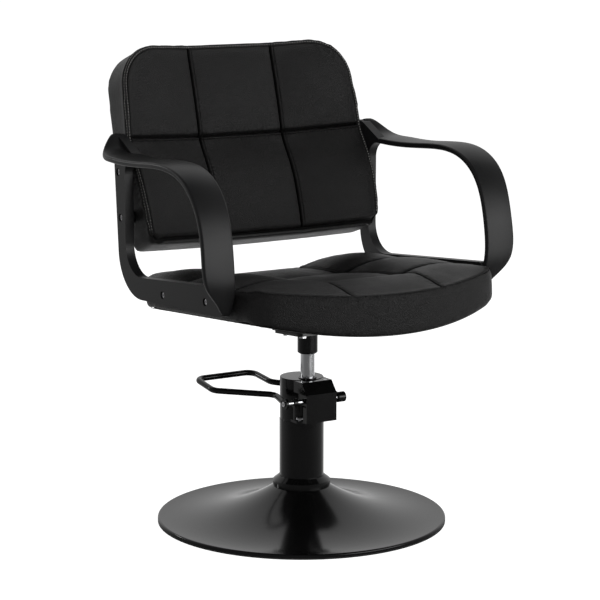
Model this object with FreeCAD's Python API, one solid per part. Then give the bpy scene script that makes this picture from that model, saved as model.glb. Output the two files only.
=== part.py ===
import FreeCAD, Part
import math
import os

from FreeCAD import Rotation, Vector

# Hydraulic salon styling chair. Millimetres, +Z up, the sitter faces -Y.
# The origin is on the floor at the centre of the round base.

# Driving dimensions of the whole chair
base_radius = 290.0
seat_height = 508.5
seat_half_width = 275.0
seat_tilt = 4.3
back_lean = 18.5
lift_stroke = 150.0

# Clearances
running_gap = 0.05
soft_gap = 0.3
seat_gap = 0.3
overrun = 1.0

# Round base
shell_wall = 2.0
rim_height = 10.0
rim_roll = 3.5
pad_height = 3.0
neck_height = 70.5
neck_radius = 57.0
flare_radius = 118.0
flare_height = 38.0
ballast_radius = 276.0
ballast_thick = 4.0
ballast_bore = 30.0
flange_thick = 6.0
flange_radius = 72.0
bolt_circle = 58.0
bolt_count = 4

# M8 hardware
bolt_radius = 4.0
bolt_head_across = 13.0
bolt_head_height = 5.5
countersink_radius = 8.0
countersink_depth = 4.0
nut_height = 6.5

# Collar on the neck of the base
collar_radius = 57.5
collar_shoulder = 83.0
collar_top = 92.0
collar_top_land = 1.5

# Pump column and head. The ram stands off the column's axis, toward the sitter's feet.
ram_offset = 22.0
column_radius = 44.5
column_wall = 3.0
column_seam = 208.0
head_radius = 43.7
head_chamfer = 1.0
pump_top = 294.0
spigot_depth = 12.0

# Ram, its cylinder and the gland at the top of the pump
ram_radius = 14.3
cylinder_bore = 17.0
cylinder_wall = 1.9
cylinder_foot = 22.0
cylinder_headroom = 16.0
piston_height = 26.0
piston_foot = 34.0
piston_groove = 1.6
piston_seal_height = 6.0
thrust_height = 4.0
bush_foot = 250.0
seal_height = 8.0
gland_radius = 18.0
gland_height = 8.0
gland_stand = 2.0
gland_notch = 4.0
gland_notches = 4

# Socket welded under the seat plate
socket_radius = 20.2
socket_length = 44.5
socket_chamfer = 2.5
socket_depth = 30.0
ram_chamfer = 2.0

# Pedal shaft across the front of the pump
pin_radius = 5.5
pin_forward = 40.0
pin_height = 257.0
pin_left = 73.7
pin_right = 57.0

# Ears of the pump head that carry the pedal shaft
ear_inner = 20.0
ear_thick = 9.0
ear_radius = 10.5

# Plunger, its barrel, spring and lever
plunger_behind = 12.0
plunger_stem = 3.5
plunger_head = 4.5
plunger_head_height = 4.0
plunger_length = 32.0
plunger_travel = 4.2
barrel_foot = 215.0
barrel_top = 234.0
barrel_half = 9.0
barrel_front = 8.0
nose_radius = 4.0
lever_hub_radius = 8.0
lever_half = 7.0
lever_web = 3.5
spring_wire = 1.4
spring_radius = 5.4
spring_turns = 4

# Release arm on the shaft and release valve beside the pump head
arm_eye_radius = 8.5
arm_eye_width = 8.0
arm_eye_left = 58.5
arm_post_width = 4.0
arm_post_depth = 5.0
arm_post_foot = 221.0
valve_left = 30.0
valve_forward = 19.0
valve_boss_radius = 8.5
valve_boss_foot = 209.0
valve_boss_top = 214.0
valve_stem = 3.0
valve_disc_radius = 7.0
valve_disc_height = 3.6
valve_travel = 2.5

# Folded sheet cover of the pedal shaft
cover_half = 35.0
cover_front = 53.0
cover_foot = 214.0
cover_top = 293.0
cover_bevel_depth = 18.5
cover_bevel_height = 22.0
cover_sheet = 2.0
cover_side_foot = 270.0
cover_return_top = 246.0
cover_return_width = 13.0
cover_screw_radius = 2.0
cover_screw_head = 3.8
cover_screw_length = 12.0

# Pedal, a bent round bar that runs round the pump
bar_radius = 6.0
bar_bend = 20.0
bar_rise_share = 0.1
eye_radius = 11.0
eye_thick = 5.0
hub_radius = 10.3
hub_right = 60.0
hub_length = 16.0
bar_left_back = 60.0
bar_left_in = 63.0
loop_left = 164.0
loop_near = 130.0
loop_far_left = 159.0
loop_far = 210.0
loop_right = 27.0
loop_neck = 138.0
bar_back = 122.0
bar_back_left = 12.0
bar_back_right = 30.0
bar_side_back = 98.0
bar_side = 53.0
end_screw_radius = 5.0
end_screw_height = 2.6
end_screw_shank = 3.0
end_screw_length = 14.0
hex_recess_across = 5.0
hex_recess_depth = 1.6

# Seat form, measured from its side seam and the ram's axis, in the plane of the seat
seat_front = 331.0
seat_back = 197.0
seat_front_bow = 524.0
seat_front_corner = 70.0
seat_back_corner = 42.0
seat_drawn_in = 3.0
seat_bulge = 2.0
seat_side_drop = 57.0
seat_centre_drop = 95.0
panel_seam = 99.0
seat_crown = 20.0
seat_front_drop = 18.0
seat_front_rise = 14.0
seat_front_roll = 135.0
seat_knee_rise = 2.0

# Across the seat at each place along it: place, side crown, seam and middle heights,
# as shares of the length behind or before the ram and of the seat's crown
seat_rear_row_shares = ((1.0, 0.2, -0.55, -0.6), (0.6, 0.85, -0.45, -0.3), (0.17, 0.5, -0.63, -0.72))
seat_middle_row_shares = ((0.17, 0.5, -0.63, -0.72), (-0.2, 0.95, -0.2, 0.05), (-0.5, 0.75, -0.05, -0.15))
seat_front_row_shares = ((-0.5, 0.75, -0.05, -0.15), (-0.72, 1.05, 0.4, 0.5), (-1.05, 0.7, 0.3, 0.4))

# Seat board, battens, underside cloth, mounting block and plate
board_thick = 14.0
board_inset = 12.0
batten_width = 18.0
batten_back = 130.0
batten_front = 165.0
batten_drop = 3.0
cloth_thick = 1.2
cloth_inset = 6.0
block_half = 66.0
block_length = 108.0
block_drop = 18.0
block_corner = 10.0
plate_thick = 6.0
plate_margin = 4.0
plate_forward = 12.0
plate_bolt_x = 43.0
plate_bolt_y = 30.5
plate_bolt_length = 36.0

# Back form, measured from its cross seam, in the plane of the back
back_pivot_y = 259.3
back_pivot_rise = 248.5
back_top = 187.0
back_foot = 217.0
back_foot_slope = 8.0
back_depth = 72.0
back_plan_radius = 1230.0
back_top_corner = 88.0
back_foot_corner = 30.0
back_bulge = 7.0
back_seam = 97.0
back_crown = 11.0
lumbar_depth = 21.5

# Across the back at each height: height, how far forward and how full the panels are,
# as shares of the height above or below the cross seam, of the lumbar depth and of the crown
back_upper_row_shares = ((0.0, 0.1, 0.0), (0.3, 0.25, 0.85), (0.7, 0.4, 1.0), (1.0, 0.45, 0.1))
back_lower_row_shares = (
    (0.0, 0.1, 0.0),
    (-0.15, 0.3, 0.6),
    (-0.31, 0.72, 0.9),
    (-0.46, 0.95, 1.0),
    (-0.65, 1.0, 1.0),
    (-0.84, 0.92, 0.8),
    (-1.0, 0.68, 0.1),
)

# Back board, battens and rear panel
back_board_thick = 14.0
back_board_front = 48.0
back_panel_thick = 7.0
back_panel_inset = 14.0
back_batten_top = 30.0
back_batten_foot = 176.0
back_batten_front = 8.0

# Arms, measured from the ram's axis and from the height of the seat
arm_gap = 3.0
arm_thick = 19.0
upright_front = 204.0
upright_back_top = 248.0
upright_back_foot = 228.2
upright_top = 208.0
upright_corner = 92.0
rail_back_foot = 55.7
rail_front_foot = 35.0
rail_back_top = 12.4
rail_front_top = 22.6
rail_front = 176.0
rail_tip_corner = 10.0
opening_corner = 60.0
gusset_radius = 34.0
gusset_top = 224.0
gusset_front = 150.0
strap_stand = 7.0
strap_width = 65.0
strap_thick = 11.5
strap_round = 4.0
strap_crown = 2.0
pad_top = 238.5
pad_fall = 6.0
pad_front = 60.0
pad_back = 130.0
pad_width = 77.0
leg_corner = 140.0
leg_lean = 8.0
leg_foot = 52.0
leg_corner_sections = 3
tip_stand = 3.0
tip_foot = 31.0
tip_back = 27.0
ear_end = 238.0
ear_rise = 35.0
ear_tilt = 50.0

# Width, drop and setback of the strap's tip and of its ear, as shares of the whole
tip_shares = ((0.25, 0.01, 0.95), (0.5, 0.14, 0.78), (0.75, 0.48, 0.52), (1.0, 1.0, 0.26))
ear_shares = (
    (0.3, 0.02, 0.98, 0.08),
    (0.65, 0.13, 0.86, 0.45),
    (0.85, 0.57, 0.6, 0.82),
    (1.0, 1.0, 0.3, 1.0),
)

# Screws that hold the arms to the seat and the back
screw_head_radius = 6.5
screw_head_height = 4.0
screw_sink_radius = 7.5
screw_sink_depth = 6.5
screw_shank = 4.0
screw_bite = 14.0
boss_radius = 11.0
seat_screw_back = 55.0
seat_screw_front = 112.0
seat_screw_drop = 24.0
back_screw_upper = 62.0
back_screw_upper_depth = 20.0
back_screw_lower = 150.0
back_screw_lower_depth = 41.0

# Sizes that follow from the ones above
column_bore = column_radius - column_wall
ballast_top = pad_height + ballast_thick
column_foot = ballast_top + flange_thick
cylinder_radius = cylinder_bore + cylinder_wall
piston_top = piston_foot + piston_height
ram_foot = piston_top + thrust_height
cylinder_top = ram_foot + lift_stroke + cylinder_headroom
bush_top = pump_top - gland_height + gland_stand - seal_height
gland_foot = bush_top + seal_height
pin_y = -ram_offset - pin_forward
plunger_y = pin_y + plunger_behind
plunger_top = pin_height - nose_radius
plunger_foot = plunger_top - plunger_length
spring_foot = barrel_top
spring_top = plunger_top - plunger_head_height
arm_inner = seat_half_width + arm_gap
arm_outer = arm_inner + arm_thick
strap_inner = arm_inner + strap_stand
strap_outer = strap_inner + strap_width
pad_outer = arm_inner + pad_width
board_half = seat_half_width - board_inset
seat_arch_radius = (seat_half_width ** 2 + (seat_centre_drop - seat_side_drop) ** 2) / (
    2 * (seat_centre_drop - seat_side_drop))
seat_arch_height = seat_arch_radius - seat_centre_drop
plate_foot = -seat_centre_drop - block_drop - plate_thick
socket_foot = seat_height + plate_foot - socket_length
socket_seat = socket_foot + socket_depth
eye_left = pin_left + eye_thick
X_AXIS = Vector(1, 0, 0)
Y_AXIS = Vector(0, 1, 0)
Z_AXIS = Vector(0, 0, 1)


# Small builders


def line(start, end):
    return Part.LineSegment(start, end).toShape()


def arc(start, middle, end):
    return Part.Arc(start, middle, end).toShape()


def bend(start, corner, end):
    # Arc from start to end, tangent to the two lines that meet in the corner
    middle = (start + end) * 0.5
    cosine = (end - start).Length / (corner - start).Length / 2
    return arc(start, middle + (corner - middle) * (cosine / (1 + cosine)), end)


def bend_reach(before, corner, after, radius):
    angle = (before - corner).getAngle(after - corner)
    return radius / math.tan(angle / 2)


def rounded_path(points, radius):
    edges = []
    place = points[0]
    for before, corner, after in zip(points, points[1:], points[2:]):
        reach = bend_reach(before, corner, after, radius)
        enter = corner + (before - corner).normalize() * reach
        leave = corner + (after - corner).normalize() * reach
        edges.append(line(place, enter))
        edges.append(bend(enter, corner, leave))
        place = leave
    edges.append(line(place, points[-1]))
    return Part.Wire(edges)


def rounded_outline(corners):
    points = [point for point, radius in corners]
    edges = []
    gates = []
    for index, (corner, radius) in enumerate(corners):
        before = points[index - 1]
        after = points[(index + 1) % len(points)]
        reach = bend_reach(before, corner, after, radius)
        enter = corner + (before - corner).normalize() * reach
        leave = corner + (after - corner).normalize() * reach
        gates.append((enter, leave))
        edges.append(bend(enter, corner, leave))
    for index, (enter, leave) in enumerate(gates):
        edges.append(line(leave, gates[(index + 1) % len(gates)][0]))
    return Part.Wire(Part.__sortEdges__(edges))


def polygon(points):
    return Part.makePolygon(points + points[:1])


def solid_of(wire, direction):
    return Part.Face(wire).extrude(direction)


def rod(radius, start, end):
    return Part.makeCylinder(radius, (end - start).Length, start, end - start)


def post(radius, x, y, foot, top):
    return Part.makeCylinder(radius, top - foot, Vector(x, y, foot))


def ring(outer, inner, y, foot, top):
    return post(outer, 0, y, foot, top).cut(post(inner, 0, y, foot - overrun, top + overrun))


def block(x_low, x_high, y_low, y_high, z_low, z_high):
    return Part.makeBox(x_high - x_low, y_high - y_low, z_high - z_low, Vector(x_low, y_low, z_low))


def revolved(edges):
    return Part.Face(Part.Wire(edges)).revolve(Vector(0, 0, 0), Z_AXIS, 360)


def revolved_points(points):
    return Part.Face(polygon(points)).revolve(Vector(0, 0, 0), Z_AXIS, 360)


def hexagon(across, height, foot, direction):
    corner = across / math.sqrt(3)
    turns = [math.radians(60 * i) for i in range(6)]
    points = [Vector(corner * math.cos(turn), corner * math.sin(turn), 0) for turn in turns]
    prism = solid_of(polygon(points), Vector(0, 0, height))
    prism.Placement = FreeCAD.Placement(foot, Rotation(Z_AXIS, direction))
    return prism


def mirrored(shape):
    return shape.mirror(Vector(0, 0, 0), X_AXIS)


def both(shape):
    return [shape, mirrored(shape)]


def at_ram(shape):
    return shape.translated(Vector(0, -ram_offset, 0))


def at_seat(shape):
    turned = shape.rotated(Vector(0, 0, 0), X_AXIS, -seat_tilt)
    return turned.translated(Vector(0, -ram_offset, seat_height))


def at_back(shape):
    turned = shape.rotated(Vector(0, 0, 0), X_AXIS, -back_lean)
    return turned.translated(Vector(0, back_pivot_y - ram_offset, seat_height + back_pivot_rise))


def seat_point(x, y, z):
    turn = math.radians(seat_tilt)
    across = y * math.cos(turn) + z * math.sin(turn)
    return Vector(x, across - ram_offset, seat_height + z * math.cos(turn) - y * math.sin(turn))


def back_point(x, depth, height):
    turn = math.radians(back_lean)
    y = back_pivot_y - ram_offset + depth * math.cos(turn) + height * math.sin(turn)
    rise = height * math.cos(turn) - depth * math.sin(turn)
    return Vector(x, y, seat_height + back_pivot_rise + rise)


# Round base


def shell_section(wall):
    slope = base_radius - rim_roll
    roll = rim_roll - wall
    diagonal = math.sqrt(0.5)
    neck = Vector(neck_radius - wall, 0, neck_height - wall)
    flare = Vector(flare_radius - wall, 0, flare_height - wall)
    edge = Vector(slope, 0, rim_height - wall)
    rolled = Vector(slope + roll * diagonal, 0, rim_height - rim_roll + roll * diagonal)
    rim = Vector(base_radius - wall, 0, rim_height - rim_roll)
    return neck, flare, edge, rolled, rim, Vector(base_radius - wall, 0, pad_height)


def base_disc():
    hole = column_radius + seat_gap
    neck, flare, edge, rolled, rim, foot = shell_section(0)
    neck_in, flare_in, edge_in, _, rim_in, foot_in = shell_section(shell_wall)
    top = Vector(hole, 0, neck_height)
    low = Vector(hole, 0, neck_height - shell_wall)
    return revolved([
        line(top, neck),
        arc(neck, flare, edge),
        arc(edge, rolled, rim),
        line(rim, foot),
        line(foot, foot_in),
        line(foot_in, rim_in),
        line(rim_in, edge_in),
        arc(edge_in, flare_in, neck_in),
        line(neck_in, low),
        line(low, top),
    ])


def floor_pad():
    return post(base_radius, 0, 0, 0, pad_height)


def bolt_places():
    turns = [math.radians(45 + i * 360 / bolt_count) for i in range(bolt_count)]
    return [(bolt_circle * math.cos(turn), bolt_circle * math.sin(turn)) for turn in turns]


def base_bolt(x, y, grow, top):
    shank = post(bolt_radius + grow, x, y, pad_height, top)
    foot = Vector(x, y, pad_height)
    head = Part.makeCone(countersink_radius + grow, bolt_radius + grow, countersink_depth, foot)
    return shank.fuse(head)


def ballast_plate():
    plate = ring(ballast_radius, ballast_bore, 0, pad_height, ballast_top)
    for x, y in bolt_places():
        plate = plate.cut(base_bolt(x, y, running_gap, ballast_top + overrun))
    return plate


def column_flange():
    flange = post(flange_radius, 0, 0, ballast_top, column_foot)
    for x, y in bolt_places():
        flange = flange.cut(base_bolt(x, y, running_gap, column_foot + overrun))
    return flange


def base_bolts():
    return [base_bolt(x, y, 0, column_foot + nut_height) for x, y in bolt_places()]


def base_nuts():
    nuts = []
    for x, y in bolt_places():
        nut = hexagon(bolt_head_across, nut_height, Vector(x, y, column_foot), Z_AXIS)
        bore = post(bolt_radius + running_gap, x, y, pad_height, column_foot + nut_height + overrun)
        nuts.append(nut.cut(bore))
    return nuts


def collar():
    bore = column_radius + running_gap
    return revolved_points([
        Vector(bore, 0, neck_height),
        Vector(collar_radius, 0, neck_height),
        Vector(collar_radius, 0, collar_shoulder),
        Vector(bore + collar_top_land, 0, collar_top),
        Vector(bore, 0, collar_top),
    ])


# Pump column, head and ram


def column_tube():
    return ring(column_radius, column_bore, 0, column_foot, column_seam)


def cylinder_base():
    foot = at_ram(post(cylinder_radius, 0, 0, column_foot, cylinder_foot))
    plug = at_ram(post(cylinder_bore - running_gap, 0, 0, cylinder_foot, piston_foot))
    return foot.fuse(plug)


def inner_cylinder():
    return ring(cylinder_radius, cylinder_bore, -ram_offset, cylinder_foot, cylinder_top)


def ear_outline(x):
    # Lug about the shaft, with a web that stands back against the head and up to the cover
    seat = cover_top - cover_sheet
    bevel_back = -ram_offset - cover_front + cover_bevel_depth + cover_sheet
    low = pin_height - ear_radius
    front = Vector(x, pin_y, pin_height + ear_radius)
    return Part.Wire([
        arc(Vector(x, pin_y, low), Vector(x, pin_y - ear_radius, pin_height), front),
        line(front, Vector(x, bevel_back, seat)),
        line(Vector(x, bevel_back, seat), Vector(x, 0, seat)),
        line(Vector(x, 0, seat), Vector(x, 0, low)),
        line(Vector(x, 0, low), Vector(x, pin_y, low)),
    ])


def pump_head():
    head = post(head_radius, 0, 0, column_seam, pump_top)
    top = [edge for edge in head.Edges if edge.BoundBox.ZMin > pump_top - head_chamfer]
    head = head.makeChamfer(head_chamfer, top)
    head = head.fuse(post(column_bore - running_gap, 0, 0, column_seam - spigot_depth, column_seam))
    for x in (ear_inner, -ear_inner - ear_thick):
        head = head.fuse(solid_of(ear_outline(x), Vector(ear_thick, 0, 0)))
    head = head.fuse(block(-barrel_half, barrel_half, plunger_y - barrel_front, 0, barrel_foot, barrel_top))
    valve_y = -ram_offset - valve_forward
    head = head.fuse(post(valve_boss_radius, -valve_left, valve_y, valve_boss_foot, valve_boss_top))
    head = head.fuse(block(-valve_left - valve_boss_radius, -valve_left + valve_boss_radius, valve_y, 0,
                           valve_boss_foot, valve_boss_top))
    bores = [
        at_ram(post(cylinder_radius, 0, 0, column_seam - spigot_depth - overrun, cylinder_top)),
        at_ram(post(cylinder_bore, 0, 0, cylinder_top, gland_foot)),
        at_ram(post(gland_radius, 0, 0, gland_foot, pump_top + overrun)),
        pin_rod(pin_radius + running_gap, -arm_outer, arm_outer),
        post(plunger_stem + running_gap, 0, plunger_y, plunger_foot - plunger_travel - seat_gap,
             barrel_top + overrun),
        post(valve_stem + running_gap, -valve_left, valve_y, valve_boss_foot - overrun,
             valve_boss_top + overrun),
    ]
    for bore in bores:
        head = head.cut(bore)
    for screw in cover_screw_places():
        foot = cover_top - cover_screw_length
        head = head.cut(post(cover_screw_radius, screw.x, screw.y, foot, pump_top + overrun))
    return head


def piston_head():
    piston = post(cylinder_bore - running_gap, 0, 0, piston_foot, piston_top)
    low = piston_foot + (piston_height - piston_seal_height) / 2
    inner = cylinder_bore - running_gap - piston_groove
    groove = ring(cylinder_bore + overrun, inner, 0, low, low + piston_seal_height)
    return at_ram(piston.cut(groove))


def piston_seal():
    low = piston_foot + (piston_height - piston_seal_height) / 2
    inner = cylinder_bore - running_gap - piston_groove
    return ring(cylinder_bore - running_gap, inner, -ram_offset, low, low + piston_seal_height)


def thrust_washer():
    return at_ram(post(ram_radius, 0, 0, piston_top, ram_foot))


def ram():
    rod_body = post(ram_radius, 0, 0, ram_foot, socket_seat)
    top = [edge for edge in rod_body.Edges if edge.BoundBox.ZMin > socket_seat - ram_chamfer]
    return at_ram(rod_body.makeChamfer(ram_chamfer, top))


def ram_bush():
    return ring(cylinder_bore, ram_radius + running_gap, -ram_offset, bush_foot, bush_top)


def ram_seal():
    return ring(cylinder_bore, ram_radius + running_gap, -ram_offset, bush_top, gland_foot)


def gland():
    top = gland_foot + gland_height
    body = ring(gland_radius - running_gap, ram_radius + running_gap, 0, gland_foot, top)
    for index in range(gland_notches):
        notch = block(ram_radius, gland_radius + overrun, -gland_notch / 2, gland_notch / 2, pump_top,
                      pump_top + gland_stand + overrun)
        body = body.cut(notch.rotated(Vector(0, 0, 0), Z_AXIS, 45 + index * 360 / gland_notches))
    return at_ram(body)


# Pedal shaft, lever, plunger and release parts


def pin_rod(radius, low, high):
    return rod(radius, Vector(low, pin_y, pin_height), Vector(high, pin_y, pin_height))


def pedal_shaft():
    return pin_rod(pin_radius, -pin_left, pin_right)


def pump_lever():
    hub = pin_rod(lever_hub_radius, -lever_half, lever_half)
    tip = Vector(-lever_half, plunger_y, pin_height)
    nose = rod(nose_radius, tip, tip + Vector(2 * lever_half, 0, 0))
    web = block(-lever_half, lever_half, pin_y, plunger_y, pin_height - lever_web, pin_height + lever_web)
    bore = pin_rod(pin_radius, -lever_half - overrun, lever_half + overrun)
    return hub.fuse(nose).fuse(web).cut(bore)


def plunger():
    stem = post(plunger_stem, 0, plunger_y, plunger_foot, plunger_top)
    head = post(plunger_head + spring_wire, 0, plunger_y, spring_top, plunger_top - plunger_head_height / 2)
    crown = post(plunger_head, 0, plunger_y, spring_top, plunger_top)
    return stem.fuse(head).fuse(crown)


def spring_point(turn, foot, pitch):
    rise = foot + pitch * turn / math.tau
    return Vector(spring_radius * math.cos(turn), spring_radius * math.sin(turn), rise)


def plunger_spring():
    # Square wire along quarter turns of a helix, each of two arcs that meet tangent to one another
    foot = spring_foot + spring_wire / 2
    pitch = (spring_top - spring_foot - spring_wire) / spring_turns
    edges = []
    for quarter in range(4 * spring_turns):
        low = quarter * math.pi / 2
        high = low + math.pi / 2
        start = spring_point(low, foot, pitch)
        end = spring_point(high, foot, pitch)
        leave = Vector(-math.sin(low), math.cos(low), pitch / math.tau / spring_radius).normalize()
        arrive = Vector(-math.sin(high), math.cos(high), pitch / math.tau / spring_radius).normalize()
        reach = spring_reach(start, leave, end, arrive)
        first = start + leave * reach
        second = end - arrive * reach
        middle = (first + second) * 0.5
        edges += [bend(start, first, middle), bend(middle, second, end)]
    start = spring_point(0, foot, pitch)
    rise = X_AXIS.cross(edges[0].tangentAt(edges[0].FirstParameter)) * (spring_wire / 2)
    across = X_AXIS * (spring_wire / 2)
    sweep = Part.BRepOffsetAPI.MakePipeShell(Part.Wire(edges))
    sweep.setBiNormalMode(Z_AXIS)
    corners = (across + rise, rise - across, -across - rise, across - rise)
    sweep.add(polygon([start + corner for corner in corners]))
    sweep.build()
    sweep.makeSolid()
    spring = sweep.shape()
    print("least gap between the spring's turns:", round(pitch - spring_wire, 2))
    return spring.translated(Vector(0, plunger_y, 0))


def spring_reach(start, leave, end, arrive):
    # Tangent length at which two equal-legged arcs join the two ends of a quarter turn
    chord = end - start
    both_ways = leave + arrive
    squared = both_ways.dot(both_ways) - 4
    along = chord.dot(both_ways)
    return (along - math.sqrt(along ** 2 - squared * chord.dot(chord))) / squared


def release_arm():
    eye = pin_rod(arm_eye_radius, -arm_eye_left, arm_eye_width - arm_eye_left)
    middle = arm_eye_width / 2 - arm_eye_left
    leg = block(middle - arm_post_width / 2, middle + arm_post_width / 2, pin_y - arm_post_depth / 2,
                pin_y + arm_post_depth / 2, arm_post_foot, pin_height)
    bore = pin_rod(pin_radius, -pin_left, 0)
    return eye.fuse(leg).cut(bore)


def release_button():
    y = -ram_offset - valve_forward
    foot = valve_boss_top + valve_travel + seat_gap
    disc = post(valve_disc_radius, -valve_left, y, foot, foot + valve_disc_height)
    top = [edge for edge in disc.Edges if edge.BoundBox.ZMin > foot]
    disc = disc.makeChamfer(valve_disc_height / 4, top)
    return disc.fuse(post(valve_stem, -valve_left, y, valve_boss_foot, foot))


def pedal_point(x, behind):
    return Vector(x, pin_y + behind, pin_height + bar_rise_share * behind)


def pedal_loop():
    # Bar from the left eye out to the foot loop, round the back of the pump to the right hub
    path = rounded_path([
        pedal_point(-pin_left - eye_thick / 2, 0),
        pedal_point(-bar_left_in, bar_left_back),
        pedal_point(-loop_left, loop_near),
        pedal_point(-loop_far_left, loop_far),
        pedal_point(-loop_right, loop_far),
        pedal_point(-loop_right, loop_neck),
        pedal_point(-bar_back_left, bar_back),
        pedal_point(bar_back_right, bar_back),
        pedal_point(bar_side, bar_side_back),
        pedal_point(bar_side, 0),
    ], bar_bend)
    first = path.Edges[0]
    start = first.valueAt(first.FirstParameter)
    profile = Part.Wire(Part.makeCircle(bar_radius, start, first.tangentAt(first.FirstParameter)))
    bar = path.makePipeShell([profile], True, False)
    fullness = bar.Volume / (math.pi * bar_radius ** 2 * path.Length)
    print("pedal bar volume over section times length:", round(fullness, 4))
    eye = pin_rod(eye_radius, -eye_left, -pin_left)
    hub = pin_rod(hub_radius, hub_right - hub_length, hub_right)
    clear = pin_rod(eye_radius, -pin_left, -arm_eye_left)
    outside = pin_rod(eye_radius, -eye_left - bar_radius, -eye_left)
    shaft_bore = pin_rod(pin_radius, 0, pin_right)
    screw_bore = pin_rod(end_screw_shank, -arm_outer, arm_outer)
    return bar.cut(clear).cut(outside).fuse(eye).fuse(hub).cut(shaft_bore).cut(screw_bore)


def end_screw(face, way):
    # Socket screw that holds the pedal to one end of the shaft
    start = Vector(face, pin_y, pin_height)
    outward = Vector(way, 0, 0)
    head = rod(end_screw_radius, start, start + outward * end_screw_height)
    shank = rod(end_screw_shank, start, start - outward * end_screw_length)
    recess_foot = start + outward * (end_screw_height - hex_recess_depth)
    return head.fuse(shank).cut(hexagon(hex_recess_across, end_screw_height, recess_foot, outward))


def pedal_screws():
    return [end_screw(-eye_left, -1), end_screw(hub_right, 1)]


def drilled_shaft():
    shaft = pedal_shaft()
    for face, way in ((-eye_left, -1), (hub_right, 1)):
        start = Vector(face, pin_y, pin_height)
        shaft = shaft.cut(rod(end_screw_shank, start, start - Vector(way, 0, 0) * end_screw_length))
    return shaft


# Folded cover over the shaft


def cover_outline(x, inward):
    front = -ram_offset - cover_front + inward
    top = cover_top - inward
    bevel_slack = inward * math.tan(math.atan2(cover_bevel_depth, cover_bevel_height) / 2)
    bevel_foot = cover_top - cover_bevel_height - bevel_slack
    bevel_back = -ram_offset - cover_front + cover_bevel_depth
    bevel_back += inward * math.tan(math.atan2(cover_bevel_height, cover_bevel_depth) / 2)
    low = cover_foot - (overrun if inward else 0)
    corners = ((front, low), (front, bevel_foot), (bevel_back, top), (0, top), (0, low))
    return [Vector(x, y, z) for y, z in corners]


def pump_cover():
    outer = solid_of(polygon(cover_outline(-cover_half, 0)), Vector(2 * cover_half, 0, 0))
    inner_half = cover_half - cover_sheet
    inner = solid_of(polygon(cover_outline(-inner_half, cover_sheet)), Vector(2 * inner_half, 0, 0))
    cover = outer.cut(inner)
    front = -ram_offset - cover_front
    outside = cover_half + overrun
    side_notch = block(-outside, outside, front + cover_sheet, overrun, cover_return_top, cover_side_foot)
    back_notch = block(-outside, outside, front + cover_return_width, overrun, cover_foot - overrun,
                       cover_side_foot)
    cover = cover.cut(side_notch).cut(back_notch)
    cover = cover.cut(post(head_radius + seat_gap, 0, 0, cover_foot - overrun, pump_top))
    cover = cover.cut(at_ram(post(gland_radius + seat_gap, 0, 0, cover_foot, pump_top)))
    for screw in cover_screw_places():
        cover = cover.cut(cover_screw(screw, running_gap))
    return max(cover.Solids, key=lambda solid: solid.Volume)


def cover_screw_places():
    y = -ram_offset - cover_front + cover_bevel_depth + cover_screw_head + 2 * cover_sheet
    x = ear_inner + ear_thick / 2
    return [Vector(x, y, cover_top), Vector(-x, y, cover_top)]


def cover_screw(place, grow):
    foot = cover_top - cover_screw_length
    shank = post(cover_screw_radius + grow, place.x, place.y, foot, cover_top)
    head_foot = Vector(place.x, place.y, cover_top - cover_sheet)
    head = Part.makeCone(cover_screw_radius + grow, cover_screw_head + grow, cover_sheet, head_foot)
    return shank.fuse(head)


def cover_screws():
    return [cover_screw(place, 0) for place in cover_screw_places()]


# Seat


def seat_plan(inset, height, spread):
    # Outline of the seat with a bowed front, round corners and sides drawn in at their ends
    half = seat_half_width - seat_drawn_in - inset + spread
    bow = seat_front_bow - inset + spread
    corner = seat_front_corner - inset + spread
    back = seat_back - inset + spread
    back_corner = seat_back_corner - inset + spread
    bow_y = seat_front_bow - seat_front
    sine = (half - corner) / (bow - corner)
    cosine = math.sqrt(1 - sine ** 2)
    corner_y = bow_y - (bow - corner) * cosine
    joint = Vector(bow * sine, bow_y - bow * cosine, height)
    side = Vector(half, corner_y, height)
    reach = (half - joint.x) / cosine
    knee = joint + Vector(cosine, sine, 0) * reach
    rear = Vector(half, back - back_corner, height)
    heel = Vector(half - back_corner, back, height)
    bulge = Vector(half + seat_drawn_in, (side.y + rear.y) / 2, height)
    edges = [
        bend(joint, knee, side),
        arc(side, bulge, rear),
        bend(rear, Vector(half, back, height), heel),
    ]
    flip = [mirrored(edge) for edge in edges]
    other_joint = Vector(-joint.x, joint.y, height)
    other_heel = Vector(-heel.x, back, height)
    edges.append(line(heel, other_heel))
    edges.append(arc(other_joint, Vector(0, bow_y - bow, height), joint))
    return Part.Wire(Part.__sortEdges__(edges + flip))


def seat_side_form():
    low = -seat_centre_drop - overrun
    middle = -seat_side_drop / 2
    high = 2 * seat_crown
    seam = seat_plan(0, 0, 0)
    lower = Part.makeLoft([seat_plan(0, low, 0), seat_plan(0, middle, seat_bulge), seam], True, False)
    return lower.fuse(Part.makeLoft([seam, seat_plan(0, high, 0)], True, True))


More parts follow.
